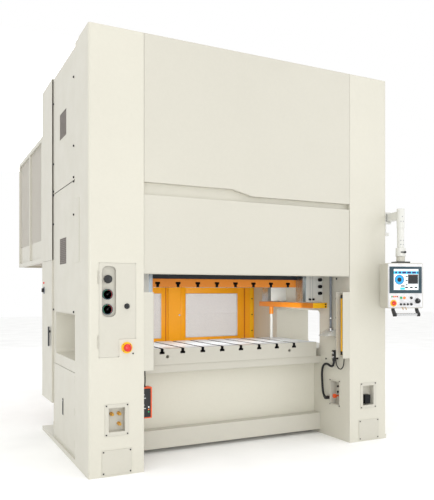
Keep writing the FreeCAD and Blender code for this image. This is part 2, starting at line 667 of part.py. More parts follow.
# ---------------------------------------------------------------- slide
def slide():
    """Slide body with guide lugs and rod pockets, and the T-slotted plate bolted under it."""
    plate_top = "slide_bottom + slide_plate_thickness"
    body_block = box(("-slide_half_width", "slide_half_width"), ("-slide_half_depth", "slide_half_depth"),
                     (plate_top, "slide_top"))
    lug_y = "(gib_face - guide_clearance)"
    lugs = [box(span(side, "slide_half_width - overrun", "lug_half_width"), (f"-{lug_y}", lug_y),
                ("lug_bottom", "slide_top")) for side in (-1, 1)]
    pockets = []
    for side in (-1, 1):
        x = f"({side} * point_half)"
        pockets.append(box((f"{x} - pocket_half_width", f"{x} + pocket_half_width"),
                           ("-pocket_half_depth", "pocket_half_depth"),
                           ("pocket_floor", "slide_top + overrun")))
        pockets.append(box((f"{x} - core_half_width", f"{x} + core_half_width"),
                           ("-slide_half_depth - overrun", "slide_half_depth + overrun"),
                           (f"{plate_top} + core_floor", "pocket_floor - core_floor")))
    pockets.append(box(("-well_half_width", "well_half_width"), ("-well_half_depth", "well_half_depth"),
                       (f"{plate_top} + core_floor", "slide_top + overrun")))
    node("slide_body", cut(fuse(body_block, *lugs), *pockets))
    body = new_body()
    depth = "slide_half_depth"
    pad(body, "y", rectangle(("-slide_half_width", "slide_half_width"), ("slide_bottom", plate_top)),
        f"-{depth}", depth)
    first = "-slot_pitch * (slot_count - 1) / 2"
    slotted(body, first, f"-{depth} - overrun", f"{depth} + overrun", "slide_bottom - overrun",
            "slide_bottom + slot_depth", "slide_bottom + slot_depth",
            "slide_bottom + slot_depth - slot_head_height")
    node("slide_plate", body)


def gibs():
    """Guide blocks at the slide's four corners, each with a bronze-faced wear bar beside it."""
    blocks = []
    bars = []
    for side in (-1, 1):
        for way in (-1, 1):
            y = span(way, "gib_face", "gib_face + gib_depth")
            bar_y = span(way, "gib_face", "gib_face + gib_depth - wear_bar_setback")
            bar_x = "(gib_inner + wear_bar_width)"
            blocks.append(box(span(side, bar_x, INNER), y, ("gib_bottom", "gib_top")))
            bars.append(box(span(side, "gib_inner", bar_x), bar_y, ("gib_bottom", "gib_top")))
    node("gib_blocks", group(blocks))
    node("wear_bars", group(bars))


# ---------------------------------------------------------------- front and side covers
def upper_front_panel():
    """Folded front panel with a stepped lower edge and flanges back to the crown face."""
    left = f"(-{INNER} + joint_gap)"
    right = f"({INNER} - joint_gap)"
    back = f"{FRONT} + crown_face_setback"

    def outline(shrink):
        return [(f"{left} + {shrink}", f"upper_panel_step + {shrink}"),
                (f"step_left + {shrink} / 4", f"upper_panel_step + {shrink}"),
                (f"step_right + {shrink} / 4", f"upper_panel_edge + {shrink}"),
                (f"{right} - {shrink}", f"upper_panel_edge + {shrink}"),
                (f"{right} - {shrink}", f"overall_height - {shrink}"),
                (f"{left} + {shrink}", f"overall_height - {shrink}")]

    body = new_body()
    pad(body, "y", outline("0"), FRONT, back)
    pocket(body, "y", f"{FRONT} + sheet", f"{back} + overrun", outline("panel_flange"))
    node("upper_front_panel", body)


def front_slide_guard():
    """Folded guard in front of the slide, with a rounded lower lip and end flanges."""
    x = (f"(-{INNER} + joint_gap)", f"({INNER} - joint_gap)")
    front = f"({FRONT} + guard_setback)"
    back = f"({FRONT} + crown_face_setback)"
    corners = [(front, "guard_bottom"), (back, "guard_bottom")]
    shell = plate("x", rectangle((front, back), ("guard_bottom", "guard_top")), x[0], x[1],
                  corners, "guard_lip")
    hollow = box((f"{x[0]} + sheet", f"{x[1]} - sheet"), (f"{front} + sheet", f"{back} + overrun"),
                 ("guard_bottom + guard_lip + sheet", "guard_top - sheet"))
    node("front_slide_guard", cut(shell, hollow))


def side_covers():
    """Bolted sheet covers over the upright's bays, with openings for the grilles."""
    seat = f"({OUTER} - cover_inset)"
    grille_y = ("grille_centre - grille_width / 2", "grille_centre + grille_width / 2")
    bands = (("lower_cover_bottom", "lower_cover_top", "lower_grille_bottom"),
             ("upper_cover_bottom", "upper_cover_top", "upper_grille_bottom"))
    grilles = []
    covers = []
    for side in (-1, 1):
        for bottom, top, grille in bands:
            sheet_box = box(span(side, seat, f"{seat} + cover_thickness"),
                            ("front_post_back + joint_gap", "side_back - joint_gap"), (bottom, top))
            opening = box(span(side, f"{seat} - overrun", f"{seat} + cover_thickness + overrun"), grille_y,
                          (grille, f"{grille} + grille_height"))
            covers.append(cut(sheet_box, opening))
            grilles.append(box(span(side, f"{seat} - grille_sheet", seat),
                               (f"{grille_y[0]} - grille_margin", f"{grille_y[1]} + grille_margin"),
                               (f"{grille} - grille_margin", f"{grille} + grille_height + grille_margin")))
        covers.append(box(span(side, OUTER, f"{OUTER} + strip_sheet"),
                          ("strip_front", "front_post_back"), ("strip_bottom", "strip_top")))
    node("side_covers", group(covers))
    node("side_grilles", group(grilles))


def service_doors():
    """Pairs of flanged doors over the lower bays, hinged at their outer upright edges."""
    leaves = (("front", "bay_front + hinge_gap", "door_split - door_gap / 2"),
              ("rear", "door_split + door_gap / 2", "bay_back - hinge_gap"))
    face = f"({OUTER} - cover_inset + cover_thickness)"
    for side in (-1, 1):
        for name, low, high in leaves:
            z = ("bay_bottom + door_gap", "bay_top - door_gap")
            leaf = box(span(side, f"{face} - door_thickness", face), (low, high), z)
            hollow = box(span(side, f"{face} - door_thickness - overrun", f"{face} - sheet"),
                         (f"{low} + panel_flange", f"{high} - panel_flange"),
                         (f"{z[0]} + panel_flange", f"{z[1]} - panel_flange"))
            node(f"{SIDE_NAMES[side]}_{name}_door", cut(leaf, hollow))


# ---------------------------------------------------------------- rear housing and cage
def rear_housing():
    """Sheet housing behind the crown, open towards it and holed for the motor."""
    x = (f"-{OUTER}", OUTER)
    shell = box(x, ("side_back", "housing_back"), ("housing_bottom", "overall_height"))
    inside = box((f"{x[0]} + sheet", f"{x[1]} - sheet"), ("side_back - overrun", "housing_back - sheet"),
                 ("housing_bottom + sheet", "overall_height - sheet"))
    hole = rod("y", ("0", pinion_height()), "housing_back - sheet - overrun", "housing_back + overrun",
               "motor_radius + motor_hole_gap")
    node("rear_housing", cut(shell, inside, hole))


def cage():
    """Guard cage behind the housing: tube frame, closed lower band and mesh panels."""
    half = OUTER
    t = "cage_tube"
    y = ("housing_back", "cage_back")
    z = ("housing_bottom", "cage_top")
    tubes = []
    rails_z = ((z[0], f"{z[0]} + {t}"), (f"{z[1]} - {t}", z[1]))
    for low, high in rails_z:
        tubes.append(box((f"-{half}", half), (f"{y[1]} - {t}", y[1]), (low, high)))
        tubes.append(box((f"-{half}", half), (y[0], f"{y[0]} + {t}"), (low, high)))
        for side in (-1, 1):
            tubes.append(box(span(side, f"{half} - {t}", half), y, (low, high)))
    for side in (-1, 1):
        for low in (y[0], f"({y[0]} + {y[1]} - {t}) / 2", f"{y[1]} - {t}"):
            tubes.append(box(span(side, f"{half} - {t}", half), (low, f"{low} + {t}"), z))
    for i in range(1, int(number("cage_bays"))):
        middle = f"(-{half} + {i} * overall_width / cage_bays)"
        tubes.append(box((f"{middle} - {t} / 2", f"{middle} + {t} / 2"), (f"{y[1]} - {t}", y[1]), z))
        for low, high in rails_z:
            tubes.append(box((f"{middle} - {t} / 2", f"{middle} + {t} / 2"), y, (low, high)))
    inner = f"({half} - {t} / 2)"
    for side in (-1, 1):
        tubes.append(box(span(side, inner, f"{inner} + mesh_sheet"), y, (z[0], "cage_band_top")))
    tubes.append(box((f"-{half}", half), (f"{y[1]} - {t} / 2", f"{y[1]} - {t} / 2 + mesh_sheet"),
                     (z[0], "cage_band_top")))
    node("cage_frame", fuse(*tubes))
    sheets = []
    z_mesh = ("cage_band_top", f"{z[1]} - {t}")
    ends = (y[0], f"({y[0]} + {y[1]} - {t}) / 2", f"{y[1]} - {t}")
    for side in (-1, 1):
        for low, high in zip(ends, ends[1:]):
            sheets.append(box(span(side, inner, f"{inner} + mesh_sheet"), (f"{low} + {t}", high), z_mesh))
    bays = int(number("cage_bays"))
    for i in range(bays):
        low = f"(-{half} + {i} * overall_width / cage_bays + {t if i == 0 else t + ' / 2'})"
        high = f"(-{half} + {i + 1} * overall_width / cage_bays - {t if i == bays - 1 else t + ' / 2'})"
        sheets.append(box((low, high), (f"{y[1]} - {t} / 2", f"{y[1]} - {t} / 2 + mesh_sheet"), z_mesh))
        for level in (f"{z[0]} + {t} / 2", f"{z[1]} - {t} / 2"):
            sheets.append(box((low, high), (f"{y[0]} + {t}", f"{y[1]} - {t}"),
                              (level, f"{level} + mesh_sheet")))
    node("cage_mesh", group(sheets))


def cabinet():
    """Control cabinet in the inset behind the left rear post, with its door and switch."""
    outer = f"-{OUTER}"
    inner = f"(-{OUTER} + rear_post_inset)"
    door_back = f"({outer} + cabinet_door)"
    y = ("side_back", "cabinet_back")
    z = ("cabinet_bottom", "housing_bottom")
    case = box((door_back, inner), y, z)
    hollow = box((f"{door_back} - overrun", f"{inner} - sheet"),
                 (f"{y[0]} + panel_flange", f"{y[1]} - panel_flange"),
                 (f"{z[0]} + panel_flange", f"{z[1]} - panel_flange"))
    node("control_cabinet", cut(case, hollow))
    door = plate("x", rectangle((f"{y[0]} + door_gap", f"{y[1]} - door_gap"),
                                (f"{z[0]} + door_gap", f"{z[1]} - door_gap")),
                 outer, f"{door_back} - guide_clearance")
    handle_y = f"({y[0]} + handle_inset)"
    middle = "handle_middle"
    grip = box((f"{outer} - handle_stand", f"{outer} - handle_stand / 2"),
               (handle_y, f"{handle_y} + handle_width"),
               (f"{middle} - handle_height / 2", f"{middle} + handle_height / 2"))
    stem = rod("x", (f"{handle_y} + handle_width / 2", f"{middle} + handle_height / 4"),
               f"{outer} - handle_stand / 2", outer, "handle_width / 3")
    node("cabinet_door", group([door, fuse(grip, stem)]))
    knob = turned([("0", "0"), ("switch_radius", "0"), ("switch_radius * 0.8", "switch_length"),
                   ("0", "switch_length")], (outer, "switch_y", "switch_height"), FACING_LEFT)
    node("cabinet_switch", knob)


# ---------------------------------------------------------------- rear guard
def rear_guard():
    """Fixed frame across the back of the die space and two framed doors with clear panes."""
    y = ("guard_frame_front", "guard_frame_front + guard_frame_depth")
    z = ("guard_frame_bottom", "guard_frame_top")
    frame = box((f"-{INNER}", INNER), y, z)
    hole = box((f"-{INNER} + left_guard_post", f"{INNER} - right_guard_post"),
               (f"{y[0]} - overrun", f"{y[1]} + overrun"),
               (f"{z[0]} + guard_rail", f"{z[1]} - guard_rail"))
    mullion = box(("-mullion_left", "mullion_right"), y,
                  (f"{z[0]} + guard_rail - overrun", f"{z[1]} - guard_rail + overrun"))
    filler = box((f"-{INNER}", INNER), y, (z[1], "housing_bottom"))
    node("rear_guard_frame", fuse(cut(frame, hole), mullion, filler))
    for side, edge, post, stile in ((-1, "mullion_left", "left_guard_post", "left_pane_stile"),
                                    (1, "mullion_right", "right_guard_post", "pane_stile")):
        x = span(side, f"{edge} + door_gap", f"{INNER} - {post} - hinge_gap")
        pane_x = span(side, f"{edge} + {stile}", f"{edge} + {stile} + pane_width")
        door_z = (f"{z[0]} + guard_rail + door_gap", f"{z[1]} - guard_rail - door_gap")
        leaf = box(x, (y[0], f"{y[1]}"), door_z)
        pane = box(pane_x, (f"{y[0]} - overrun", f"{y[1]} + overrun"),
                   ("pane_bottom", "pane_top"))
        middle = f"({y[0]} + guard_frame_depth / 2)"
        glass = box(pane_x, (middle, f"{middle} + pane_sheet"),
                    ("pane_bottom", "pane_top"))
        node(f"{SIDE_NAMES[side]}_guard_door", group([cut(leaf, pane), glass]))


# ---------------------------------------------------------------- light curtain, rail, conduit
def light_curtains():
    """U-channels open towards the die space, each holding a light curtain bar."""
    channels = []
    bars = []
    y = (FRONT, f"{FRONT} + channel_depth")
    z = ("channel_bottom", "channel_top")
    for side in (-1, 1):
        whole = box(span(side, f"{INNER} - channel_reach", INNER), y, z)
        inside = box(span(side, f"{INNER} - channel_reach - overrun", f"{INNER} - channel_sheet"),
                     (f"{y[0]} + channel_sheet", f"{y[1]} - channel_sheet"),
                     (f"{z[0]} - overrun", f"{z[1]} + overrun"))
        channels.append(cut(whole, inside))
        bars.append(box(span(side, f"{INNER} - channel_sheet - curtain_depth", f"{INNER} - channel_sheet"),
                        (f"{FRONT} + channel_depth / 2 - curtain_width / 2",
                         f"{FRONT} + channel_depth / 2 + curtain_width / 2"),
                        ("curtain_bottom", "curtain_top")))
    node("curtain_channels", group(channels))
    node("light_curtains", group(bars))


def side_rail():
    """Folded rail along the right of the die space, and the post that props it."""
    z = ("rail_bottom", "rail_top")
    bar = box(("rail_inner", "rail_inner + rail_sheet"), ("rail_front", "rail_back"), z)
    front_lug = box(("rail_inner", INNER), ("rail_front", "rail_front + rail_sheet"), z)
    back_lug = box(("rail_inner", INNER), ("rail_back - rail_sheet", "rail_back"), z)
    node("side_rail", fuse(bar, front_lug, back_lug))
    x = "rail_inner + rail_sheet / 2"
    post = rod("z", (x, "post_y"), "bed_top + bolster_thickness", "post_fitting_bottom", "post_radius")
    fitting = rod("z", (x, "post_y"), "post_fitting_bottom", "rail_bottom", "post_fitting_radius")
    node("rail_post", fuse(post, fitting))


def conduit():
    """Flexible conduit down the right column, its end fitting and the shelf under it."""
    x = "conduit_x"
    pipe = rod("z", (x, "conduit_y"), "conduit_bottom", "conduit_top", "conduit_radius")
    fitting = rod("z", (x, "conduit_y"), "conduit_fitting_bottom", "conduit_bottom",
                  "conduit_fitting_radius")
    clips = [box((x, INNER), ("conduit_y - conduit_fitting_radius", "conduit_y + conduit_fitting_radius"),
                 (low, f"{low} + clip_height")) for low in ("conduit_bottom + 90", "conduit_top - 40")]
    node("conduit_pipe", fuse(pipe, fitting, *clips))
    wedge = plate("y", [(f"{INNER} - shelf_reach", "shelf_bottom"), (INNER, "shelf_bottom"),
                        (INNER, "shelf_bottom + shelf_rise")], "shelf_front", "shelf_back")
    hole = rod("z", (x, "conduit_y"), "shelf_bottom - overrun", "conduit_bottom",
               "conduit_fitting_radius + shelf_gap")
    node("cable_shelf", cut(wedge, hole))
    block = box((f"{INNER} - block_reach", INNER), ("block_front", "block_back"), 
                ("block_bottom", "block_top"))
    inlet = box((f"{INNER} - block_reach", INNER), ("inlet_back - inlet_depth", "inlet_back"),
                ("inlet_bottom", "inlet_bottom + inlet_depth"))
    panel = box(span(-1, f"{INNER} - box_reach", INNER), ("box_front", "box_front + box_depth"),
                ("box_bottom", "box_bottom + box_height"))
    node("junction_boxes", group([block, inlet, panel]))


def tube_along(points, radius):
    """A tube of straight runs joined by tangent arcs, as large as the runs beside them allow."""
    corners = [Vector(*p) for p in points]
    edges = []
    start = corners[0]
    radii = []
    for before, corner, after in zip(corners, corners[1:], corners[2:]):
        back = (before - corner).normalize()
        ahead = (after - corner).normalize()
        half_turn = (math.pi - back.getAngle(ahead)) / 2
        trim = 0.45 * min((before - corner).Length, (after - corner).Length)
        bend = trim / math.tan(half_turn)
        radii.append(round(bend, 1))
        first = corner + back * trim
        last = corner + ahead * trim
        inward = (back + ahead).normalize()
        middle = corner + inward * (bend / math.cos(half_turn) - bend)
        edges.append(Part.LineSegment(start, first).toShape())
        edges.append(Part.Arc(first, middle, last).toShape())
        start = last
    edges.append(Part.LineSegment(start, corners[-1]).toShape())
    path = Part.Wire(edges)
    section = Part.Wire(Part.Circle(corners[0], corners[1] - corners[0], radius).toShape())
    shape = path.makePipeShell([section], True, False)
    expected = math.pi * radius ** 2 * path.Length
    print("cable radii", radii, "length", round(path.Length))
    print("cable volume against section times length", round(shape.Volume / expected, 4))
    return shape


# Routes of the three short cables, end to end, as distance from the press's middle, place front
# to back, and height: from the terminal block round and down into the inlet block beside the
# valve recess; from the right light curtain to the terminal block; and from the left light
# curtain down to the box below it.  Distances are for the frame width in ROUTE_WIDTH.
ROUTE_WIDTH = 2957
CABLE_ROUTE = [(995, -634, 775), (996, -633, 738), (998, -612, 706), (1000, -572, 703), (1001, -530, 720),
               (1001, -486, 720), (1001, -450, 692), (1001, -434, 644), (1001, -433, 588), (1001, -438, 530),
               (1001, -443, 474), (1001, -452, 424), (1001, -474, 392), (1000, -493, 384)]
WIRE_ROUTE = [(1004, -779, 830), (1004, -780, 796), (1004, -778, 760), (1004, -769, 725), (1004, -748, 698),
              (1004, -718, 688), (1004, -690, 698), (1003, -669, 720), (1003, -658, 748), (1003, -655, 775)]
LEFT_ROUTE = [(-1004, -779, 830), (-1004, -778, 795), (-1000, -770, 760), (-993, -753, 726),
              (-986, -732, 696), (-982, -716, 674), (-980, -708, 656)]


def cables():
    """The three short cables beside the die space."""
    shift = (number("overall_width") - ROUTE_WIDTH) / 2
    for label, route, radius in (("curtain_cable", CABLE_ROUTE, "cable_radius"),
                                 ("sensor_cable", WIRE_ROUTE, "wire_radius"),
                                 ("left_sensor_cable", LEFT_ROUTE, "wire_radius")):
        item = doc.addObject("Part::Feature", "Cable")
        points = [(x + math.copysign(shift, x), y, z) for x, y, z in route]
        item.Shape = tube_along(points, number(radius))
        node(label, item)


# ---------------------------------------------------------------- left column controls
def control_door():
    """Notched door with a window slot for the gauges."""
    body = new_body()
    pad(body, "y", panel_outline("0"), FRONT, f"{FRONT} + panel_sheet")
    slot = rectangle(("slot_left", "slot_right"), ("slot_bottom", "slot_top"))
    pocket(body, "y", f"{FRONT} - overrun", f"{FRONT} + panel_sheet + overrun", slot)
    corners = [(x, z) for x in ("slot_left", "slot_right") for z in ("slot_bottom", "slot_top")]
    round_edges(body, "y", corners, "panel_round")
    outer = [("panel_left", "panel_bottom"), ("notch_left", "panel_bottom"), ("panel_right", "notch_top"),
             ("panel_right", "panel_top"), ("panel_left", "panel_top")]
    round_edges(body, "y", outer, "corner_round / 2")
    node("control_door", body)


def gauge_panel():
    """Sub-plate behind the door, two gauges and the regulator knob."""
    back = f"{FRONT} + plate_thickness"
    margin = "gauge_plate_margin"
    sub_plate = box((f"panel_left - {margin}", f"panel_right + {margin}"), (back, f"{back} + sheet"),
                    (f"slot_bottom - {margin}", f"slot_top + {margin}"))
    gauges = [sub_plate]
    for z in ("gauge_upper_z", "gauge_lower_z"):
        reach = "(plate_thickness - gauge_setback)"
        profile = [("0", "0"), ("gauge_radius * 0.7", "0"), ("gauge_radius * 0.7", f"{reach} * 0.4"),
                   ("gauge_radius", f"{reach} * 0.4"), ("gauge_radius", reach),
                   ("gauge_radius * 0.88", reach), ("gauge_radius * 0.88", f"{reach} * 0.8"),
                   ("0", f"{reach} * 0.8")]
        gauges.append(turned(profile, ("gauge_x", back, z), FACING_FRONT))
    node("pressure_gauges", group(gauges))
    length = "(plate_thickness + knob_reach)"
    knob = turned([("0", "0"), ("knob_radius * 0.5", "0"), ("knob_radius * 0.5", f"{length} * 0.4"),
                   ("knob_radius", f"{length} * 0.45"), ("knob_radius * 0.94", length), ("0", length)],
                  ("gauge_x", back, "knob_z"), FACING_FRONT)
    node("regulator_knob", knob)
    key = turned([("0", "0"), ("key_radius", "0"), ("key_radius", "key_length * 0.36"),
                  ("key_radius * 0.6", "key_length * 0.45"), ("key_radius * 0.6", "key_length"),
                  ("0", "key_length")], ("key_x", FRONT, "key_z"), FACING_FRONT)
    node("key_switch", key)


def push_button(place, radius, stem, length, travel):
    """A push button whose head stands off its plate by its travel, on a stem through the plate."""
    under = f"{travel} + head_gap"
    profile = [("0", "-stem_length"), (stem, "-stem_length"), (stem, under), (radius, under),
               (radius, f"{length} * 0.75"), (f"{radius} * 0.8", length), ("0", length)]
    return turned(profile, place, FACING_FRONT)


def emergency_stop():
    """Yellow legend plate and red mushroom button on the left column."""
    ring = turned([("stop_stem_radius + stem_clearance", "0"), ("stop_plate_radius", "0"),
                   ("stop_plate_radius", "stop_plate_thickness"),
                   ("stop_stem_radius + stem_clearance", "stop_plate_thickness")],
                  ("stop_x", FRONT, "stop_z"), FACING_FRONT)
    node("stop_plate", ring)
    node("stop_button", push_button(("stop_x", f"{FRONT} - stop_plate_thickness", "stop_z"), "stop_radius",
                                    "stop_stem_radius", "stop_length", "stop_travel"))


def ring_span(pair, grow):
    """A pair of formulas, spread outwards by a third one."""
    return (f"{pair[0]} - {grow}", f"{pair[1]} + {grow}")


def recess_pan(x, z):
    """A flanged pan set into the front wall of a column."""
    sheet_out = f"({FRONT} - recess_sheet)"
    floor = f"({FRONT} + recess_depth)"
    flange = box(x, (sheet_out, FRONT), z)
    inner_x = ring_span(x, "(-recess_border)")
    inner_z = ring_span(z, "(-recess_border)")
    outer = box(ring_span(inner_x, "recess_sheet"), (sheet_out, floor), ring_span(inner_z, "recess_sheet"))
    inside = box(inner_x, (f"{sheet_out} - overrun", f"{floor} - recess_sheet"), inner_z)
    return cut(fuse(flange, outer), inside)


def valve_pan():
    """A rimmed pan set into the inner wall of the right column."""
    y = ("valve_front", "valve_back")
    z = ("valve_bottom", "valve_top")
    shell = cut(box((INNER, f"{INNER} + valve_depth"), ring_span(y, "recess_sheet"),
                    ring_span(z, "recess_sheet")),
                box((f"{INNER} - overrun", f"{INNER} + valve_depth - recess_sheet"), y, z))
    rim = cut(box((f"{INNER} - recess_sheet", INNER), ring_span(y, "valve_rim"), ring_span(z, "valve_rim")),
              box((f"{INNER} - recess_sheet - overrun", f"{INNER} + overrun"), y, z))
    return fuse(shell, rim)


def stepped(base, base_length, tip, length):
    """Outline of a turned fitting: a wide part and a narrower part beyond it."""
    return [("0", "0"), (base, "0"), (base, f"{length} * {base_length}"), (tip, f"{length} * {base_length}"),
            (tip, length), ("0", length)]


def lower_fittings():
    """Recess pans, base covers and the couplers, plug and valves in the pans."""
    z = ("recess_bottom", "recess_bottom + recess_height")
    pans = [recess_pan((left, f"{left} + recess_width"), z) for left in ("recess_left", "right_recess_left")]
    covers = [box((left, f"{left} + base_cover_width"), (f"{FRONT} - sheet", FRONT),
                  ("base_cover_bottom", "base_cover_bottom + base_cover_height"))
              for left in ("base_cover_left", "right_base_cover_left")]
    node("column_covers", group(pans + [valve_pan()] + covers))
    floor = f"{FRONT} + recess_depth - recess_sheet"
    centre_x = "recess_left + recess_width / 2"
    centre_z = "recess_bottom + recess_height / 2"
    profile = stepped("coupler_radius", "0.42", "coupler_radius * 0.7", "coupler_length")
    spots = ((-1, 1), (1, 1), (1, -1))
    fittings = [turned(profile, (f"{centre_x} + {dx} * coupler_spread_x", floor,
                                 f"{centre_z} + {dz} * coupler_spread_z"), FACING_FRONT)
                for dx, dz in spots]
    plug_x = "(right_recess_left + recess_width / 2)"
    plug_z = "(recess_bottom + recess_border + plug_rise)"
    fittings.append(box((f"{plug_x} - plug_width / 2", f"{plug_x} + plug_width / 2"),
                        (f"{floor} - plug_length", floor), (plug_z, f"{plug_z} + plug_height")))
    wall = f"{INNER} + valve_depth - recess_sheet"
    valve = stepped("valve_radius", "0.55", "valve_radius * 0.62", "valve_length")
    for drop in ("valve_drop", "valve_drop + valve_spacing"):
        place = (wall, "valve_front + valve_inset", f"valve_top - ({drop})")
        fittings.append(turned(valve, place, FACING_LEFT))
    tap = stepped("valve_radius / 2", "0.62", "tap_radius", "valve_length")
    fittings.append(turned(tap, (wall, "valve_back - valve_inset", "valve_bottom + tap_rise"), FACING_LEFT))
    node("column_fittings", group(fittings))


# ---------------------------------------------------------------- pendant
def pendant():
    """Bracket on the right column, swinging arm with a drop tube, and the operator's case."""
    reach = (OUTER, "pivot_x + pivot_radius")
    ears = []
    y = ("pivot_y - pivot_radius", "pivot_y + pivot_radius")
    for low, high in (("bracket_bottom", "arm_bottom - arm_gap"), ("arm_top + arm_gap", "bracket_top")):
        ears.append(box((reach[0], "pivot_x"), y, (low, high)))
        ears.append(rod("z", ("pivot_x", "pivot_y"), low, high, "pivot_radius"))
    back_plate = box((reach[0], f"{reach[0]} + back_plate_sheet"), y,
                     ("lower_bracket_bottom", "bracket_top"))
    pin = rod("z", ("pivot_x", "pivot_y"), "bracket_bottom", "bracket_top", "pivot_pin_radius")
    foot = box((reach[0], "pivot_x"), ("pivot_y - pivot_radius / 2", "pivot_y + pivot_radius / 2"),
               ("lower_bracket_bottom", "lower_bracket_bottom + lower_bracket_sheet"))
    node("arm_bracket", fuse(*ears, back_plate, pin, foot))
    arm()
    case()


def arm():
    dx = "(tube_x - pivot_x)"
    dy = "(tube_y - pivot_y)"
    length = f"sqrt({dx} ^ 2 + {dy} ^ 2)"
    beam = doc.addObject("Part::Box", "Beam")
    beam.setExpression("Length", bound(length))
    beam.setExpression("Width", bound("arm_width"))
    beam.setExpression("Height", bound("arm_top - arm_bottom"))
    heading = math.degrees(math.atan2(number(dy), number(dx)))
    turn = Rotation(Vector(0, 0, 1), heading)
    side = turn.multVec(Vector(0, 1, 0))
    set_place(beam, (f"pivot_x - arm_width / 2 * {side.x}", f"pivot_y - arm_width / 2 * {side.y}",
                     "arm_bottom"), turn)
    hub = rod("z", ("pivot_x", "pivot_y"), "arm_bottom", "arm_top", "pivot_radius")
    elbow = rod("z", ("tube_x", "tube_y"), "elbow_top - elbow_height", "elbow_top",
                "tube_width / 2 + elbow_wall")
    tube = rod("z", ("tube_x", "tube_y"), "tube_bottom", "elbow_top - tube_drop", "tube_width / 2")
    coupling = rod("z", ("tube_x", "tube_y"), "coupling_bottom", "tube_bottom", "coupling_radius")
    bore = rod("z", ("pivot_x", "pivot_y"), "arm_bottom - overrun", "arm_top + overrun",
               "pivot_pin_radius + running_clearance")
    node("pendant_arm", cut(fuse(beam, hub, elbow, tube, coupling), bore))


PENDANT_PLACE = ("tube_x", "tube_y", "0")


def on_pendant(label, item):
    """Pieces of the case are drawn square to its face and turned about the tube."""
    set_place(item, PENDANT_PLACE, Rotation(Vector(0, 0, 1), number("pendant_turn")))
    return node(label, item)


def case():
    """Hollow case with its neck and clamp, the front panel and screen, the handle and controls."""
    front = "case_front"
    back = "case_front + case_depth"
    bottom = "(case_top - case_height)"
    x = ("-case_width / 2", "case_width / 2")
    corners = [(a, b) for a in x for b in (bottom, "case_top")]
    shell = plate("y", rectangle(x, (bottom, "case_top")), front, back, corners, "case_round")
    middle = "(case_top - case_height / 2)"
    bezel_x = ("-bezel_width / 2", "bezel_width / 2")
    bezel_z = (f"{middle} - bezel_height / 2", f"{middle} + bezel_height / 2")
    hollow = box(tuple(f"{f} + {s} * case_round" for f, s in zip(bezel_x, (1, -1))),
                 (f"{front} - overrun", f"{back} - sheet"),
                 tuple(f"{f} + {s} * case_round" for f, s in zip(bezel_z, (1, -1))))
    neck = rod("z", ("0", "0"), "case_top", "coupling_bottom - joint_gap / 4", "swivel_radius")
    clamp = box(("-clamp_half_width", "clamp_half_width"), ("-clamp_half_depth", "clamp_half_depth"),
                ("case_top", "case_top + clamp_thickness"))
    on_pendant("pendant_case", fuse(cut(shell, hollow), neck, clamp))
    face = f"({front} - bezel_thickness)"
    stop_place = ("pendant_stop_x", face, f"{bottom} + pendant_stop_rise")
    start_place = ("start_x", face, f"{bottom} + button_rise")
    dial_place = ("dial_x", face, f"{bottom} + dial_rise")
    holes = [rod("y", (place[0], place[2]), f"{face} - overrun", f"{front} + overrun",
                 "button_stem + stem_clearance") for place in (stop_place, start_place)]
    bezel = cut(box(bezel_x, (face, front), bezel_z), *holes)
    screen_bottom = f"({bottom} + screen_rise)"
    screen = box(("screen_centre - screen_width / 2", "screen_centre + screen_width / 2"),
                 (f"{face} - screen_thickness", face), (screen_bottom, f"{screen_bottom} + screen_height"))
    on_pendant("pendant_panel", group([bezel, screen]))
    handle(front, bottom)
    on_pendant("pendant_stop", group([push_button(stop_place, "pendant_stop_radius", "button_stem",
                                                  "pendant_stop_length", "button_travel")]))
    on_pendant("start_button", group([push_button(start_place, "button_radius", "button_stem",
                                                  "button_length", "button_travel")]))
    dial = turned([("0", "0"), ("dial_radius", "0"), ("dial_radius", "dial_length * 0.6"),
                   ("dial_radius * 0.86", "dial_length"), ("0", "dial_length")], dial_place, FACING_FRONT)
    on_pendant("pendant_dial", group([dial]))


def handle(front, bottom):
    """Grip bar held below and in front of the case by two plates."""
    centre = (f"{front} - handle_reach", f"{bottom} - handle_drop + handle_rise")
    grip = rod("x", centre, "-grip_length / 2", "grip_length / 2", "grip_radius")
    spigot = rod("x", centre, "-handle_spread / 2", "handle_spread / 2", "grip_radius - spigot_step")
    ends = []
    for side in (-1, 1):
        x = f"({side} * handle_spread / 2)"
        ends.append(box((f"{x} - handle_plate / 2", f"{x} + handle_plate / 2"),
                        (f"{front} - handle_reach - handle_plate / 2", f"{front} + handle_plate"),
                        (f"{bottom} - handle_drop", bottom)))
    on_pendant("pendant_handle", fuse(grip, spigot, *ends))


# ---------------------------------------------------------------- fasteners
def hex_screw(axis, place, radius, height, way):
    """A cap screw head with a hexagon socket, standing on a face and facing along an axis."""
    body = new_body()
    sketch = new_sketch(body, "z", "0", "0")
    draw_circle(sketch, "0", "0", radius)
    feature = body.newObject("PartDesign::Pad", "Head")
    feature.Profile = sketch
    feature.setExpression("Length", bound(height))
    body.Tip = feature
    socket = [(f"{radius} * 0.5 * cos({60 * i} deg)", f"{radius} * 0.5 * sin({60 * i} deg)")
              for i in range(6)]
    pocket(body, "z", f"{height} * 0.5", f"{height} + overrun", socket)
    set_place(body, place, Rotation(Vector(0, 0, 1), AXES[axis] * way))
    return body


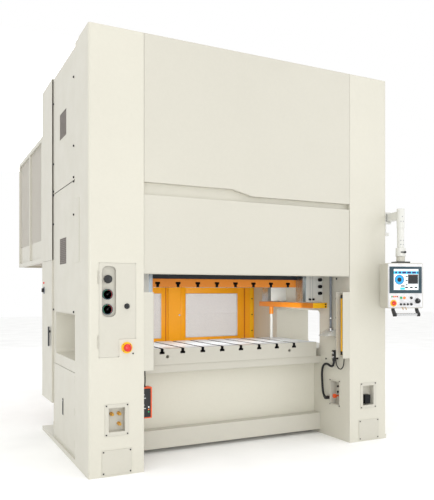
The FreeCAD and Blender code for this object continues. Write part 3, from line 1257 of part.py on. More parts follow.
def screws():
    """Every visible screw head on the fixed covers and guide blocks."""
    heads = []
    seat = f"({OUTER} - cover_inset + cover_thickness)"
    rows = ("upper_cover_top - screw_drop", "upper_cover_bottom + screw_rise",
            "upper_cover_bottom + screw_edge", "lower_cover_top - screw_edge / 4",
            "lower_cover_bottom + screw_middle", "lower_cover_bottom + screw_edge / 2")
    for side in (-1, 1):
        for y in ("front_post_back + screw_inset", "side_back - screw_edge"):
            for z in rows:
                heads.append(hex_screw("x", (f"{side} * {seat}", y, z), "cover_screw_radius",
                                       "cover_screw_height", side))
        for i in range(3):
            place = (f"{side} * ({INNER} - cap_screw_inset)", "-gib_face - gib_depth",
                     f"gib_bottom + cap_screw_rise + {i} * cap_screw_spacing")
            heads.append(hex_screw("y", place, "cap_screw_radius", "cap_screw_height", -1))
        for i in range(2):
            place = (f"{side} * ({INNER} - foot_screw_inset - {i} * foot_screw_spacing)",
                     "-gib_face - gib_depth", "gib_bottom + foot_screw_rise")
            heads.append(hex_screw("y", place, "foot_screw_radius", "cap_screw_height / 2", -1))
    z_recess = ("recess_bottom", "recess_bottom + recess_height")
    z_base = ("base_cover_bottom", "base_cover_bottom + base_cover_height")
    plates = (("recess_left", "recess_width", z_recess, "recess_sheet"),
              ("right_recess_left", "recess_width", z_recess, "recess_sheet"),
              ("base_cover_left", "base_cover_width", z_base, "sheet"),
              ("right_base_cover_left", "base_cover_width", z_base, "sheet"))
    for left, width, z, thickness in plates:
        for x in ring_span((left, f"{left} + {width}"), "(-plate_screw_inset)"):
            for height in ring_span(z, "(-plate_screw_inset)"):
                heads.append(hex_screw("y", (x, f"{FRONT} - {thickness}", height), "plate_screw_radius",
                                       "plate_screw_height", -1))
    node("cap_screws", group(heads))


# ---------------------------------------------------------------- build and write
def build():
    upright(-1)
    upright(1)
    bed()
    bolster()
    crown()
    drive()
    slide()
    gibs()
    upper_front_panel()
    front_slide_guard()
    side_covers()
    service_doors()
    rear_housing()
    cage()
    cabinet()
    rear_guard()
    light_curtains()
    side_rail()
    conduit()
    cables()
    control_door()
    gauge_panel()
    emergency_stop()
    lower_fittings()
    pendant()
    screws()


def write():
    doc.recompute()
    for item in doc.Objects:
        if "Invalid" in item.State or "Error" in item.State:
            raise RuntimeError(f"{item.Name} {item.Label} failed: {item.State}")
    os.makedirs("parts", exist_ok=True)
    for item in NODES:
        shape = item.Shape
        if shape.isNull() or not shape.isValid() or not shape.Solids:
            raise RuntimeError(f"{item.Label} has no valid solid")
    for item in NODES:
        item.Shape.exportStep(f"parts/{item.Label}.step")
    print(len(NODES), "nodes")


build()
write()
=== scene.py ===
"""Looks of the straight-side stamping press: finishes for every CAD node and the finely made pieces
that sit on them. Metres, +Z up, front towards -Y."""

import math

import bmesh
import bpy
from mathutils import Matrix, Vector


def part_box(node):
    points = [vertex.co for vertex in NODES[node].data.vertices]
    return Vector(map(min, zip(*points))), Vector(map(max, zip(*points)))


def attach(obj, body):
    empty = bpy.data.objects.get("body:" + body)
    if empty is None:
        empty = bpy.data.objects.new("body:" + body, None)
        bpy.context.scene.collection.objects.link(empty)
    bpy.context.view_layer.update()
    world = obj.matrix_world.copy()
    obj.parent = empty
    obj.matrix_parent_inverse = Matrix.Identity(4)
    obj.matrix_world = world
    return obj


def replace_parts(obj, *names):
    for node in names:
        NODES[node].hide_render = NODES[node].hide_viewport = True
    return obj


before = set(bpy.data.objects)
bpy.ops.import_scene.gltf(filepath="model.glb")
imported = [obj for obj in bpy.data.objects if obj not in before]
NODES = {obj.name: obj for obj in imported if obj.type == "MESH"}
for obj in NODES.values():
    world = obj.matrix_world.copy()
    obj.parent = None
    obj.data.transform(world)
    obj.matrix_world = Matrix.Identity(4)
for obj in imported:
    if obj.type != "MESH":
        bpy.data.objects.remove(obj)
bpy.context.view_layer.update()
FRONT = -0.832
INNER_WALL = 1.0305
SIDES = {-1: "left", 1: "right"}
TO_FRONT = (0, -1, 0)
UP = (0, 0, 1)
SOFTEN_OVER = 0.6  # radians between faces
SMOOTH_UNDER = 35.0  # degrees between faces


# ---------------- node materials
def tone(code, gain=1.0):
    """A linear colour from a six-digit sRGB code."""
    shares = [int(code[i:i + 2], 16) / 255 for i in (0, 2, 4)]
    linear = [s / 12.92 if s <= 0.04045 else ((s + 0.055) / 1.055) ** 2.4 for s in shares]
    return (*[min(1.0, c * gain) for c in linear], 1.0)


class Finish:
    """A node material being put together."""

    def __init__(self, name, roughness=0.5, metallic=0.0, coat=0.0, specular=0.5):
        self.material = bpy.data.materials.new(name)
        self.material.use_nodes = True
        self.tree = self.material.node_tree
        self.shader = self.tree.nodes["Principled BSDF"]
        for socket, value in (("Roughness", roughness), ("Metallic", metallic),
                              ("Coat Weight", coat), ("Specular IOR Level", specular)):
            self.shader.inputs[socket].default_value = value
        self.place = self.add("ShaderNodeTexCoord").outputs["Object"]

    def add(self, kind, inputs=None, **settings):
        made = self.tree.nodes.new(kind)
        for key, value in settings.items():
            setattr(made, key, value)
        for key, value in (inputs or {}).items():
            self.feed(made.inputs[key], value)
        return made

    def feed(self, socket, value):
        if isinstance(value, bpy.types.NodeSocket):
            self.tree.links.new(value, socket)
        else:
            socket.default_value = value

    def noise(self, scale, detail=2.0, stretch=None):
        place = self.place
        if stretch:
            place = self.add("ShaderNodeMapping", {"Vector": place, "Scale": stretch}).outputs[0]
        texture = self.add("ShaderNodeTexNoise", {"Vector": place, "Scale": scale, "Detail": detail})
        return texture.outputs["Fac"]

    def spread(self, value, low, high, start=0.3, end=0.7):
        made = self.add("ShaderNodeMapRange", {"Value": value, "From Min": start, "From Max": end,
                                               "To Min": low, "To Max": high})
        return made.outputs[0]

    def mix(self, share, first, second):
        made = self.add("ShaderNodeMix", data_type="RGBA")
        for index, value in ((0, share), (6, first), (7, second)):
            self.feed(made.inputs[index], value)
        return made.outputs[2]

    def bump(self, height, strength, distance, soft_edge=0.0):
        made = self.add("ShaderNodeBump", {"Height": height, "Strength": strength, "Distance": distance})
        if soft_edge:
            edge = self.add("ShaderNodeBevel", {"Radius": soft_edge}, samples=4)
            self.feed(made.inputs["Normal"], edge.outputs[0])
        self.feed(self.shader.inputs["Normal"], made.outputs[0])

    def colour(self, value):
        self.feed(self.shader.inputs["Base Color"], value)


def paint(name, code, roughness=0.42, drift=0.035, soft_edge=0.004):
    """Sprayed machine enamel: slow drift of tone, fine mottle and an orange-peel surface."""
    f = Finish(name, coat=0.12)
    broad = f.spread(f.noise(0.8, 3.0), 0.0, 1.0)
    fine = f.spread(f.noise(45.0, 3.0), 0.0, 1.0)
    base = f.mix(broad, tone(code, 1 - drift), tone(code, 1 + drift / 2))
    worn = f.mix(fine, tone(code, 1 - drift), tone(code, 1 + drift / 2))
    f.colour(f.mix(0.35, base, worn))
    f.feed(f.shader.inputs["Roughness"], f.spread(f.noise(6.0, 2.0), roughness - 0.05, roughness + 0.07))
    f.bump(f.noise(320.0, 2.0), 0.10, 0.0006, soft_edge)
    return f.material


def steel(name, code, stretch=(1.0, 60.0, 60.0), roughness=0.3, scale=9.0):
    """Ground or drawn steel, its fine lines running along one direction."""
    f = Finish(name, metallic=1.0)
    lines = f.noise(scale, 5.0, stretch)
    cloud = f.noise(3.0, 3.0)
    base = f.mix(f.spread(lines, 0.0, 1.0), tone(code, 0.82), tone(code, 1.08))
    f.colour(f.mix(f.spread(cloud, 0.0, 0.5), base, tone(code, 0.9)))
    f.feed(f.shader.inputs["Roughness"], f.spread(lines, roughness - 0.08, roughness + 0.12))
    f.bump(lines, 0.15, 0.0004, 0.002)
    return f.material


def ground_plate(name, code):
    """Surface-ground plate under a film of oil, with fine crossing lay marks; its pale, mostly diffuse tone
    is partly the steel's own and partly painted reflection of the bright room.
    """
    f = Finish(name, metallic=0.25, coat=0.2)
    lines = f.noise(14.0, 5.0, (1.0, 30.0, 1.0))
    cross = f.noise(14.0, 5.0, (30.0, 1.0, 1.0))
    base = f.mix(f.spread(lines, 0.0, 1.0), tone(code, 0.92), tone(code, 1.0))
    f.colour(f.mix(f.spread(cross, 0.0, 0.4), base, tone(code, 0.88)))
    f.feed(f.shader.inputs["Roughness"], f.spread(lines, 0.38, 0.5))
    f.bump(lines, 0.08, 0.0003, 0.002)
    return f.material


def cast(name, code, roughness=0.6, metallic=0.4):
    """Rough iron casting with a grainy skin."""
    f = Finish(name, roughness=roughness, metallic=metallic)
    grain = f.noise(90.0, 6.0)
    f.colour(f.mix(f.spread(f.noise(5.0, 4.0), 0.0, 1.0), tone(code, 0.8), tone(code, 1.15)))
    f.bump(grain, 0.35, 0.0012, 0.003)
    return f.material


def plastic(name, code, roughness=0.45, grain=600.0, coat=0.0):
    """Moulded plastic with a fine spark-eroded grain."""
    f = Finish(name, coat=coat)
    f.colour(f.mix(f.spread(f.noise(18.0, 3.0), 0.0, 1.0), tone(code, 0.88), tone(code, 1.1)))
    sheen = f.spread(f.noise(grain / 4, 2.0), roughness - 0.06, roughness + 0.08)
    f.feed(f.shader.inputs["Roughness"], sheen)
    f.bump(f.noise(grain, 2.0), 0.18, 0.0003, 0.0012)
    return f.material


def rubber(name, code):
    """Cable sheath: dull, with fine lengthwise drag marks."""
    f = Finish(name, specular=0.35)
    f.colour(f.mix(f.spread(f.noise(60.0, 4.0), 0.0, 1.0), tone(code, 0.8), tone(code, 1.3)))
    f.feed(f.shader.inputs["Roughness"], f.spread(f.noise(40.0, 2.0), 0.5, 0.66))
    f.bump(f.noise(240.0, 3.0), 0.25, 0.0005)
    return f.material


def display(name, code, glow=0.25):
    """A lit field of the operator's display, with its faint rows of dots."""
    f = Finish(name, roughness=0.25, coat=0.4)
    rows = f.add("ShaderNodeTexWave", {"Vector": f.place, "Scale": 120.0}, bands_direction="Z").outputs["Fac"]
    shade = f.mix(f.spread(rows, 0.0, 1.0, 0.0, 1.0), tone(code, 0.92), tone(code, 1.04))
    f.colour(shade)
    f.feed(f.shader.inputs["Emission Color"], shade)
    f.shader.inputs["Emission Strength"].default_value = glow
    return f.material


def lamp(name, code):
    """A coloured lens over a lamp, with a faint glow; on the printed zones of the gauge dials this glow is
    painted light.
    """
    f = Finish(name, roughness=0.18, coat=0.6)
    shade = f.mix(f.spread(f.noise(220.0, 2.0), 0.0, 1.0), tone(code, 0.85), tone(code, 1.15))
    f.colour(shade)
    f.feed(f.shader.inputs["Emission Color"], shade)
    f.shader.inputs["Emission Strength"].default_value = 0.12
    f.bump(f.noise(500.0, 1.0), 0.1, 0.0002)
    return f.material


def clear_sheet(name):
    """Clear polycarbonate with a trace of haze and scratches."""
    f = Finish(name, roughness=0.08)
    f.colour(f.mix(f.spread(f.noise(20.0, 3.0), 0.0, 1.0), tone("F2F1EE"), tone("FFFFFF")))
    f.feed(f.shader.inputs["Roughness"], f.spread(f.noise(30.0, 4.0, (1.0, 1.0, 8.0)), 0.04, 0.14))
    f.shader.inputs["Alpha"].default_value = 0.22
    return f.material


CREAM = paint("cream_enamel", "C1BEB2")
# The side cream is the same enamel made lighter: painted light that brings the less lit side faces up to the
# fronts.
CREAM_SIDE_PAINTED_LIGHT = paint("cream_enamel_side_painted_light", "C9C6B9")
# The recess cream is the same enamel in a second tone for the bed's recessed web: painted light standing in
# for how the recess is lit.
CREAM_RECESS_PAINTED_LIGHT = paint("cream_enamel_recess_painted_light", "CFCCBE", roughness=0.5)
WHITE = paint("white_enamel", "D2D2CC", roughness=0.35, soft_edge=0.002)
ORANGE = paint("slide_orange", "E2840A", roughness=0.38, drift=0.06)
AMBER = paint("guard_amber", "F6A408", roughness=0.38, drift=0.05)
PANE_WEAVE = paint("pane_weave", "F0E6E0", roughness=0.5)
# FOLD_SHADOW is painted shadow: a dark amber for the fold and the gap on the guard doors.
FOLD_SHADOW = paint("guard_fold_shadow", "C4640C", roughness=0.5)
YELLOW = paint("signal_yellow", "F6B80C", roughness=0.4, drift=0.05)
WIRE = paint("mesh_enamel", "D6D1C6", roughness=0.5, soft_edge=0.0)
DARK_WIRE = paint("grille_enamel", "8F8780", roughness=0.55, soft_edge=0.0)
GROUND = steel("ground_steel", "C9CCCE")
UPRIGHT_STEEL = steel("drawn_steel", "B9C2C8", (60.0, 60.0, 1.0), 0.26)
BRIGHT = steel("bright_steel", "D4D5D6", (40.0, 40.0, 40.0), 0.24, 4.0)
BRASS = steel("brass", "C79A4B", (30.0, 30.0, 30.0), 0.3, 5.0)
SLOT_DARK = cast("slot_shadow_steel", "17181A", 0.6, 0.2)
IRON = cast("cast_iron", "5D6062")
# The slide body is nearly black: painted shadow for the dark gap between the slide guard and the slide plate.
SLIDE_IRON_PAINTED_SHADOW = cast("slide_casting_painted_shadow", "2E3236", 0.5, 0.5)
# The table finish is partly painted reflection: pale and mostly diffuse where a shiny plate would mirror the
# bright room.
TABLE_PAINTED_REFLECTION = ground_plate("table_steel_painted_reflection", "DDE4E9")
MOTOR = paint("motor_grey", "4B5054", roughness=0.5)
BLACK = plastic("black_plastic", "17181A")
BLACK_OXIDE = cast("black_oxide", "1B1C1E", 0.42, 0.7)
GREY = plastic("grey_conduit", "7F858C", 0.5, 300.0)
SHEATH = rubber("black_sheath", "16171A")
TEAL = plastic("dark_teal", "163743", 0.35, 400.0, 0.3)
RED = plastic("signal_red", "CE1F1B", 0.3, 300.0, 0.3)
STOP_YELLOW = plastic("stop_yellow", "F2B90C", 0.35, 300.0, 0.2)
ORANGE_PLASTIC = plastic("valve_orange", "E3541C", 0.4, 300.0)
DIAL_FACE = plastic("dial_white", "E9EBE8", 0.22, 200.0, 0.8)
PANEL_WHITE = plastic("panel_white", "DADADC", 0.4, 500.0)
CLEAR = clear_sheet("clear_pane")
SCREEN = display("screen_ground", "E8F1F4")
SCREEN_BLUE = display("screen_blue", "1E9BE0")
SCREEN_NAVY = display("screen_navy", "1B2C6B", 0.12)
SCREEN_CYAN = display("screen_cyan", "35C0E8")
SCREEN_DARK = display("screen_dark", "14181C", 0.02)
SCREEN_BROWN = display("screen_brown", "4A2F2A", 0.05)
LAMP_GREEN = lamp("lamp_green", "19A35C")
LAMP_AMBER = lamp("lamp_amber", "F07C1E")
LAMP_RED = lamp("lamp_red", "D62B22")
LAMP_DARK = lamp("lamp_dark_red", "8E1B1B")
LAMP_CLEAR = lamp("lamp_clear", "E9EDEC")


# ---------------- mesh pieces
BOX_FACES = ((0, 3, 2, 1), (4, 5, 6, 7), (0, 1, 5, 4), (1, 2, 6, 5), (2, 3, 7, 6), (3, 0, 4, 7))


class Piece:
    """One visible piece, gathered from softened blocks, turned shapes and tubes."""

    def __init__(self, name, body, slot, place=None):
        self.name = name
        self.body = body
        self.slot = slot
        self.place = place or Matrix.Identity(4)
        self.points = []
        self.faces = []
        self.marks = []
        self.finishes = []

    def take(self, points, faces, finish):
        start = len(self.points)
        if finish not in self.finishes:
            self.finishes.append(finish)
        self.points += points
        self.faces += [[start + i for i in face] for face in faces]
        self.marks += [self.finishes.index(finish)] * len(faces)

    def take_shape(self, shape, finish, soft=0.0):
        bmesh.ops.recalc_face_normals(shape, faces=shape.faces[:])
        if soft:
            edges = [e for e in shape.edges if e.calc_face_angle(0.0) > SOFTEN_OVER]
            bmesh.ops.bevel(shape, geom=edges, offset=soft, segments=2, profile=0.5,
                            affect="EDGES", clamp_overlap=True)
        shape.verts.index_update()
        points = [v.co.copy() for v in shape.verts]
        faces = [[v.index for v in face.verts] for face in shape.faces]
        shape.free()
        self.take(points, faces, finish)

    def bar(self, low, high, finish):
        """A thin plain strip, for wires."""
        corners = [Vector((x, y, z)) for z in (low[2], high[2])
                   for x, y in ((low[0], low[1]), (high[0], low[1]), (high[0], high[1]), (low[0], high[1]))]
        self.take(corners, BOX_FACES, finish)

    def block(self, low, high, finish, soft=0.0015):
        shape = bmesh.new()
        bmesh.ops.create_cube(shape, size=1.0)
        low, high = Vector(low), Vector(high)
        size = high - low
        for v in shape.verts:
            v.co = low + Vector(((v.co[i] + 0.5) * size[i] for i in range(3)))
        self.take_shape(shape, finish, soft)

    def prism(self, outline, axis, low, high, finish, soft=0.0):
        """An outline extruded along an axis; its points are the other two coordinates in order."""
        shape = bmesh.new()
        index = "xyz".index(axis)

        def point(pair, along):
            found = list(pair)
            found.insert(index, along)
            return found

        ends = [[shape.verts.new(point(p, along)) for p in outline] for along in (low, high)]
        shape.faces.new(ends[0])
        shape.faces.new(ends[1])
        for i in range(len(outline)):
            j = (i + 1) % len(outline)
            shape.faces.new((ends[0][i], ends[0][j], ends[1][j], ends[1][i]))
        self.take_shape(shape, finish, soft)

    def turned(self, profile, base, axis, finish, sides=32):
        """A profile of (radius, height) pairs turned about an axis through base."""
        shape = bmesh.new()
        turn = Vector(UP).rotation_difference(Vector(axis)).to_matrix()
        base = Vector(base)
        rings = []
        for radius, height in profile:
            if radius < 1e-7:
                rings.append([shape.verts.new(base + turn @ Vector((0, 0, height)))])
                continue
            ring = []
            for i in range(sides):
                angle = 2 * math.pi * i / sides
                spot = Vector((radius * math.cos(angle), radius * math.sin(angle), height))
                ring.append(shape.verts.new(base + turn @ spot))
            rings.append(ring)
        for first, second in zip(rings, rings[1:]):
            for i in range(sides):
                j = (i + 1) % sides
                corners = [first[i % len(first)], first[j % len(first)],
                           second[j % len(second)], second[i % len(second)]]
                corners = list(dict.fromkeys(corners))
                if len(corners) > 2:
                    shape.faces.new(corners)
        for ring in (rings[0], rings[-1]):
            if len(ring) > 1:
                shape.faces.new(ring)
        self.take_shape(shape, finish)

    def screw(self, base, axis, radius, height, finish):
        """A cap screw head with a hexagon socket in it."""
        edge = radius * 0.12
        self.turned([(radius, 0), (radius, height - edge), (radius - edge, height), (radius * 0.55, height)],
                    base, axis, finish, 20)
        self.turned([(radius * 0.55, height), (radius * 0.5, height * 0.45), (0, height * 0.45)],
                    base, axis, SLOT_DARK, 6)

    def tube(self, path, radius, finish, sides=16):
        """A round bar that follows a short path of points."""
        shape = bmesh.new()
        points = [Vector(p) for p in path]
        rings = []
        for i, spot in enumerate(points):
            ahead = (points[min(i + 1, len(points) - 1)] - points[max(i - 1, 0)]).normalized()
            turn = Vector(UP).rotation_difference(ahead).to_matrix()
            ring = []
            for k in range(sides):
                angle = 2 * math.pi * k / sides
                ring.append(shape.verts.new(spot + turn @ Vector((radius * math.cos(angle),
                                                                  radius * math.sin(angle), 0))))
            rings.append(ring)
        for first, second in zip(rings, rings[1:]):
            for k in range(sides):
                j = (k + 1) % sides
                shape.faces.new((first[k], first[j], second[j], second[k]))
        shape.faces.new(rings[0])
        shape.faces.new(rings[-1])
        self.take_shape(shape, finish)

    def lattice(self, low, high, pitch, wire, finish):
        """A square-holed sheet in the thin direction of the box from low to high."""
        thin = min(range(3), key=lambda i: high[i] - low[i])
        spans = [i for i in range(3) if i != thin]
        for across in spans:
            count = max(1, round((high[across] - low[across]) / pitch))
            step = (high[across] - low[across]) / count
            for i in range(count + 1):
                centre = low[across] + i * step
                a, b = list(low), list(high)
                a[across] = max(low[across], centre - wire / 2)
                b[across] = min(high[across], centre + wire / 2)
                self.bar(a, b, finish)

    def done(self):
        mesh = bpy.data.meshes.new(self.name)
        mesh.from_pydata([self.place @ Vector(p) for p in self.points], [], self.faces)
        for finish in self.finishes:
            mesh.materials.append(finish)
        mesh.polygons.foreach_set("material_index", self.marks)
        mesh.shade_smooth()
        mesh.set_sharp_from_angle(angle=math.radians(SMOOTH_UNDER))
        mesh.update()
        item = bpy.data.objects.new(self.name, mesh)
        bpy.context.scene.collection.objects.link(item)
        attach(item, self.body)
        return item


def wear(names, finish, *others):
    """Give CAD nodes a finish; each of the others is a (finish, rule) for faces that the rule picks."""
    for name in names.split():
        mesh = NODES[name].data
        mesh.materials.clear()
        mesh.materials.append(finish)
        for other, _ in others:
            mesh.materials.append(other)
        marks = []
        for face in mesh.polygons:
            picked = [i for i, (_, rule) in enumerate(others, start=1) if rule(face.center, face.normal)]
            marks.append(picked[0] if picked else 0)
        mesh.polygons.foreach_set("material_index", marks)
        mesh.update()


# ---------------- camera and light
def camera():
    data = bpy.data.cameras.new("camera")
    data.lens = 43.45
    data.shift_y = 0.0827
    data.clip_end = 100.0
    item = bpy.data.objects.new("camera", data)
    item.location = (-2.657, -5.403, 1.441)
    item.rotation_euler = (math.radians(90), 0, math.radians(-26.485))
    bpy.context.scene.collection.objects.link(item)
    bpy.context.scene.camera = item


def area_light(name, place, target, size, power, hidden=False):
    """A soft rectangular lamp; the two small ones inside the die space don't show themselves."""
    data = bpy.data.lights.new(name, "AREA")
    data.shape = "RECTANGLE"
    data.size, data.size_y = size
    data.energy = power
    item = bpy.data.objects.new(name, data)
    item.location = place
    item.visible_camera = not hidden
    item.visible_glossy = not hidden
    item.rotation_euler = (Vector(target) - Vector(place)).to_track_quat("-Z", "Y").to_euler()
    bpy.context.scene.collection.objects.link(item)


def studio():
    """Pale floor, white surroundings and large soft lights."""
    scene = bpy.context.scene
    scene.view_settings.view_transform = "Standard"
    world = bpy.data.worlds.new("studio")
    world.use_nodes = True
    ground = world.node_tree.nodes["Background"]
    ground.inputs["Color"].default_value = (1.0, 1.0, 1.0, 1.0)
    ground.inputs["Strength"].default_value = 1.0
    scene.world = world
    area_light("front_light", (-2.7, -7.6, 1.6), (0, 0, 1.3), (3.0, 1.6), 120)
    area_light("right_light", (5.5, -6.0, 4.0), (0, 0, 1.5), (4.0, 4.0), 50)
    area_light("left_light", (-7.0, -1.0, 4.5), (-1.5, 0.5, 1.8), (4.0, 4.0), 20)
    area_light("back_light", (1.0, 8.0, 5.5), (0, 1.0, 1.8), (5.0, 3.0), 90)
    area_light("overhead_light", (-1.0, -3.5, 9.0), (-1.0, -3.5, 0), (8.0, 8.0), 260)
    area_light("door_light", (0, -0.30, 1.22), (0, 1.0, 1.14), (1.5, 0.16), 8, hidden=True)
    area_light("table_light", (0, -0.15, 1.30), (0, -0.15, 0.93), (1.6, 0.5), 3.5, hidden=True)
    mesh = bpy.data.meshes.new("studio_floor")
    half = 30.0
    mesh.from_pydata([(-half, -half, 0), (half, -half, 0), (half, half, 0), (-half, half, 0)], [],
                     [(0, 1, 2, 3)])
    f = Finish("floor_paper", roughness=0.85, specular=0.2)
    f.colour(f.mix(f.spread(f.noise(1.5, 3.0), 0.0, 1.0), tone("F6F6F5"), tone("FDFDFC")))
    mesh.materials.append(f.material)
    floor = bpy.data.objects.new("studio_floor", mesh)
    scene.collection.objects.link(floor)


# ---------------- cables
# From the terminal block round and down into the inlet block, from the right curtain to the terminal
# block, and from the left curtain to the drive unit below it.
CABLE_RADIUS, WIRE_RADIUS = 0.011, 0.005
CABLE_ROUTE = [(0.995, -0.634, 0.775), (0.996, -0.633, 0.738), (0.998, -0.612, 0.706),
               (1.000, -0.572, 0.703), (1.001, -0.530, 0.720), (1.001, -0.486, 0.720),
               (1.001, -0.450, 0.692), (1.001, -0.434, 0.644), (1.001, -0.433, 0.588),
               (1.001, -0.438, 0.530), (1.001, -0.443, 0.474), (1.001, -0.452, 0.424),
               (1.001, -0.474, 0.392), (1.000, -0.493, 0.384)]
WIRE_ROUTE = [(1.004, -0.779, 0.830), (1.004, -0.780, 0.796), (1.004, -0.778, 0.760),
              (1.004, -0.769, 0.725), (1.004, -0.748, 0.698), (1.004, -0.718, 0.688),
              (1.004, -0.690, 0.698), (1.003, -0.669, 0.720), (1.003, -0.658, 0.748),
              (1.003, -0.655, 0.775)]
LEFT_ROUTE = [(-1.004, -0.779, 0.830), (-1.004, -0.778, 0.795), (-1.000, -0.770, 0.760),
              (-0.993, -0.753, 0.726), (-0.986, -0.732, 0.696), (-0.982, -0.716, 0.674),
              (-0.980, -0.708, 0.656)]


def cable(name, route, radius, node):
    """A cord on a smooth curve along its route, in place of its CAD node."""
    data = bpy.data.curves.new(name, "CURVE")
    data.dimensions = "3D"
    data.bevel_depth = radius
    data.bevel_resolution = 4
    data.resolution_u = 12
    data.use_fill_caps = True
    line = data.splines.new("NURBS")
    line.points.add(len(route) - 1)
    for point, spot in zip(line.points, route):
        point.co = (*spot, 1.0)
    line.order_u = 3
    line.use_endpoint_u = True
    data.materials.append(SHEATH)
    item = bpy.data.objects.new(name, data)
    bpy.context.scene.collection.objects.link(item)
    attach(item, "frame")
    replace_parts(item, node)


def cables():
    cable("curtain_cable_line", CABLE_ROUTE, CABLE_RADIUS, "curtain_cable")
    cable("sensor_cable_line", WIRE_ROUTE, WIRE_RADIUS, "sensor_cable")
    cable("left_sensor_cable_line", LEFT_ROUTE, WIRE_RADIUS, "left_sensor_cable")


# ---------------- finishes of the CAD nodes
def frame_finishes():
    # Uprights, crown, housings, side covers, doors and cage take the lighter side cream, which is painted
    # light.
    wear("left_upright right_upright crown rear_housing", CREAM_SIDE_PAINTED_LIGHT)
    wear("upper_front_panel front_slide_guard control_door column_covers curtain_channels", CREAM)
    wear("side_covers left_front_door left_rear_door right_front_door right_rear_door "
         "control_cabinet cage_frame", CREAM_SIDE_PAINTED_LIGHT)
    # The bed's recessed web takes the recess cream, a tone of painted light.
    wear("bed", CREAM, (CREAM_RECESS_PAINTED_LIGHT, lambda c, n: abs(c.y) < 0.27))
    wear("cabinet_door", CREAM_SIDE_PAINTED_LIGHT, (BLACK, lambda c, n: c.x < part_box("control_cabinet")[0].x - 0.0225))
    wear("side_grilles", SLOT_DARK)
    wear("gib_blocks cable_shelf", WHITE)
    wear("wear_bars", UPRIGHT_STEEL)
    wear("cap_screws", BLACK_OXIDE)
    wear("rear_guard_frame", AMBER)
    wear("side_rail", ORANGE, (YELLOW, lambda c, n: c.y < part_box("side_rail")[0].y + 0.024))
    wear("rail_post", WHITE, (ORANGE, lambda c, n: c.z > 1.1925))


def drive_finishes():
    wear("left_eccentric_gear right_eccentric_gear", IRON)
    wear("left_connecting_rod right_connecting_rod", IRON)
    wear("gear_shafts drive_pinion", BRIGHT)
    wear("servo_motor", MOTOR)


def table_finishes():
    """Bolster and slide: machined faces bright, the bolster's top partly by painted reflection; enamelled
    sides; T-slots dark with painted shadow.
    """
    edge, slot_depth = 0.0005, 0.0485
    low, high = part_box("bolster_plate")
    wear("bolster_plate", CREAM,
         (TABLE_PAINTED_REFLECTION, lambda c, n: c.z > high.z - edge and n.z > 0.5),
         (SLOT_DARK, lambda c, n: c.z > high.z - slot_depth and low.y + edge < c.y < high.y - edge
          and abs(c.x) < high.x - edge))
    bottom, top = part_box("slide_plate")
    wear("slide_plate", ORANGE,
         (GROUND, lambda c, n: c.z < bottom.z + edge),
         (SLOT_DARK, lambda c, n: c.z < bottom.z + slot_depth and bottom.y + edge < c.y < top.y - edge
          and abs(c.x) < top.x - edge))
    # Painted shadow: the dark slide body fills the gap under the slide guard.
    wear("slide_body", SLIDE_IRON_PAINTED_SHADOW)


def control_finishes():
    lens_low, lens_high = 0.875, 1.365
    wear("light_curtains", YELLOW, (BLACK, lambda c, n: not lens_low <= c.z <= lens_high))
    wear("conduit_pipe", GREY)
    wear("junction_boxes", BLACK)
    wear("key_switch regulator_knob", BLACK)
    wear("stop_plate", STOP_YELLOW)
    wear("stop_button pendant_stop", RED)
    wear("start_button", LAMP_GREEN)
    wear("pendant_dial cabinet_switch", BLACK)
    wear("arm_bracket pendant_arm", WHITE)
    wear("pendant_case", CREAM, (BLACK, lambda c, n: 1.7071 < c.z < 1.7235))
    wear("pendant_handle", BRIGHT)
    wear("pendant_panel", PANEL_WHITE)
    wear("pressure_gauges", CREAM, (TEAL, lambda c, n: c.y < -0.8072))
    wear("column_fittings", BLACK_OXIDE, (BRASS, lambda c, n: c.x < -1.0),
         (ORANGE_PLASTIC, lambda c, n: 1.0 < c.x < 1.11 and c.z < 0.44))
    # These nodes are replaced by finer pieces; the finish only keeps them from being bare.
    wear("left_guard_door right_guard_door cage_mesh curtain_cable sensor_cable left_sensor_cable", AMBER)


# ---------------- rear cage and side grilles
def cage_panels():
    """Square-holed guard sheets in the cage's bays, at the places of the plain CAD sheets."""
    low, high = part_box("cage_frame")
    mesh_low, mesh_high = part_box("cage_mesh")
    tube, sheet, pitch, wire = 0.045, 0.0016, 0.013, 0.0052
    band_top = 1.985
    middle = (low.y + high.y) / 2
    panels = []
    side_z = (band_top, high.z - tube)
    for x in (mesh_low.x, mesh_high.x - sheet):
        for a, b in ((low.y + tube, middle - tube / 2), (middle + tube / 2, high.y - tube)):
            panels.append(((x, a, side_z[0]), (x + sheet, b, side_z[1])))
    bays = 3
    width = (high.x - low.x) / bays
    for i in range(bays):
        a = low.x + i * width + (tube if i == 0 else tube / 2)
        b = low.x + (i + 1) * width - (tube if i == bays - 1 else tube / 2)
        back = mesh_high.y
        panels.append(((a, back - sheet, side_z[0]), (b, back, side_z[1])))
        for z in (low.z + tube / 2, high.z - tube / 2):
            panels.append(((a, low.y + tube, z), (b, high.y - tube, z + sheet)))
    sheets = Piece("cage_sheets", "frame", "mesh_sheet")
    for a, b in panels:
        sheets.lattice(a, b, pitch, wire, WIRE)
    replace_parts(sheets.done(), "cage_mesh")


def grille_meshes():
    """Expanded-metal look in the openings of the side covers."""
    centre, half, height = 0.128, 0.135, 0.235
    depth = (0.0005, 0.0020)
    grilles = Piece("side_grille_mesh", "frame", "mesh_sheet")
    for side in (-1, 1):
        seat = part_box("side_grilles")[1].x
        x = sorted((side * (seat + depth[0]), side * (seat + depth[1])))
        for bottom in (1.689, 2.838):
            grilles.lattice((x[0], centre - half, bottom), (x[1], centre + half, bottom + height),
                            0.017, 0.0055, DARK_WIRE)
    grilles.done()


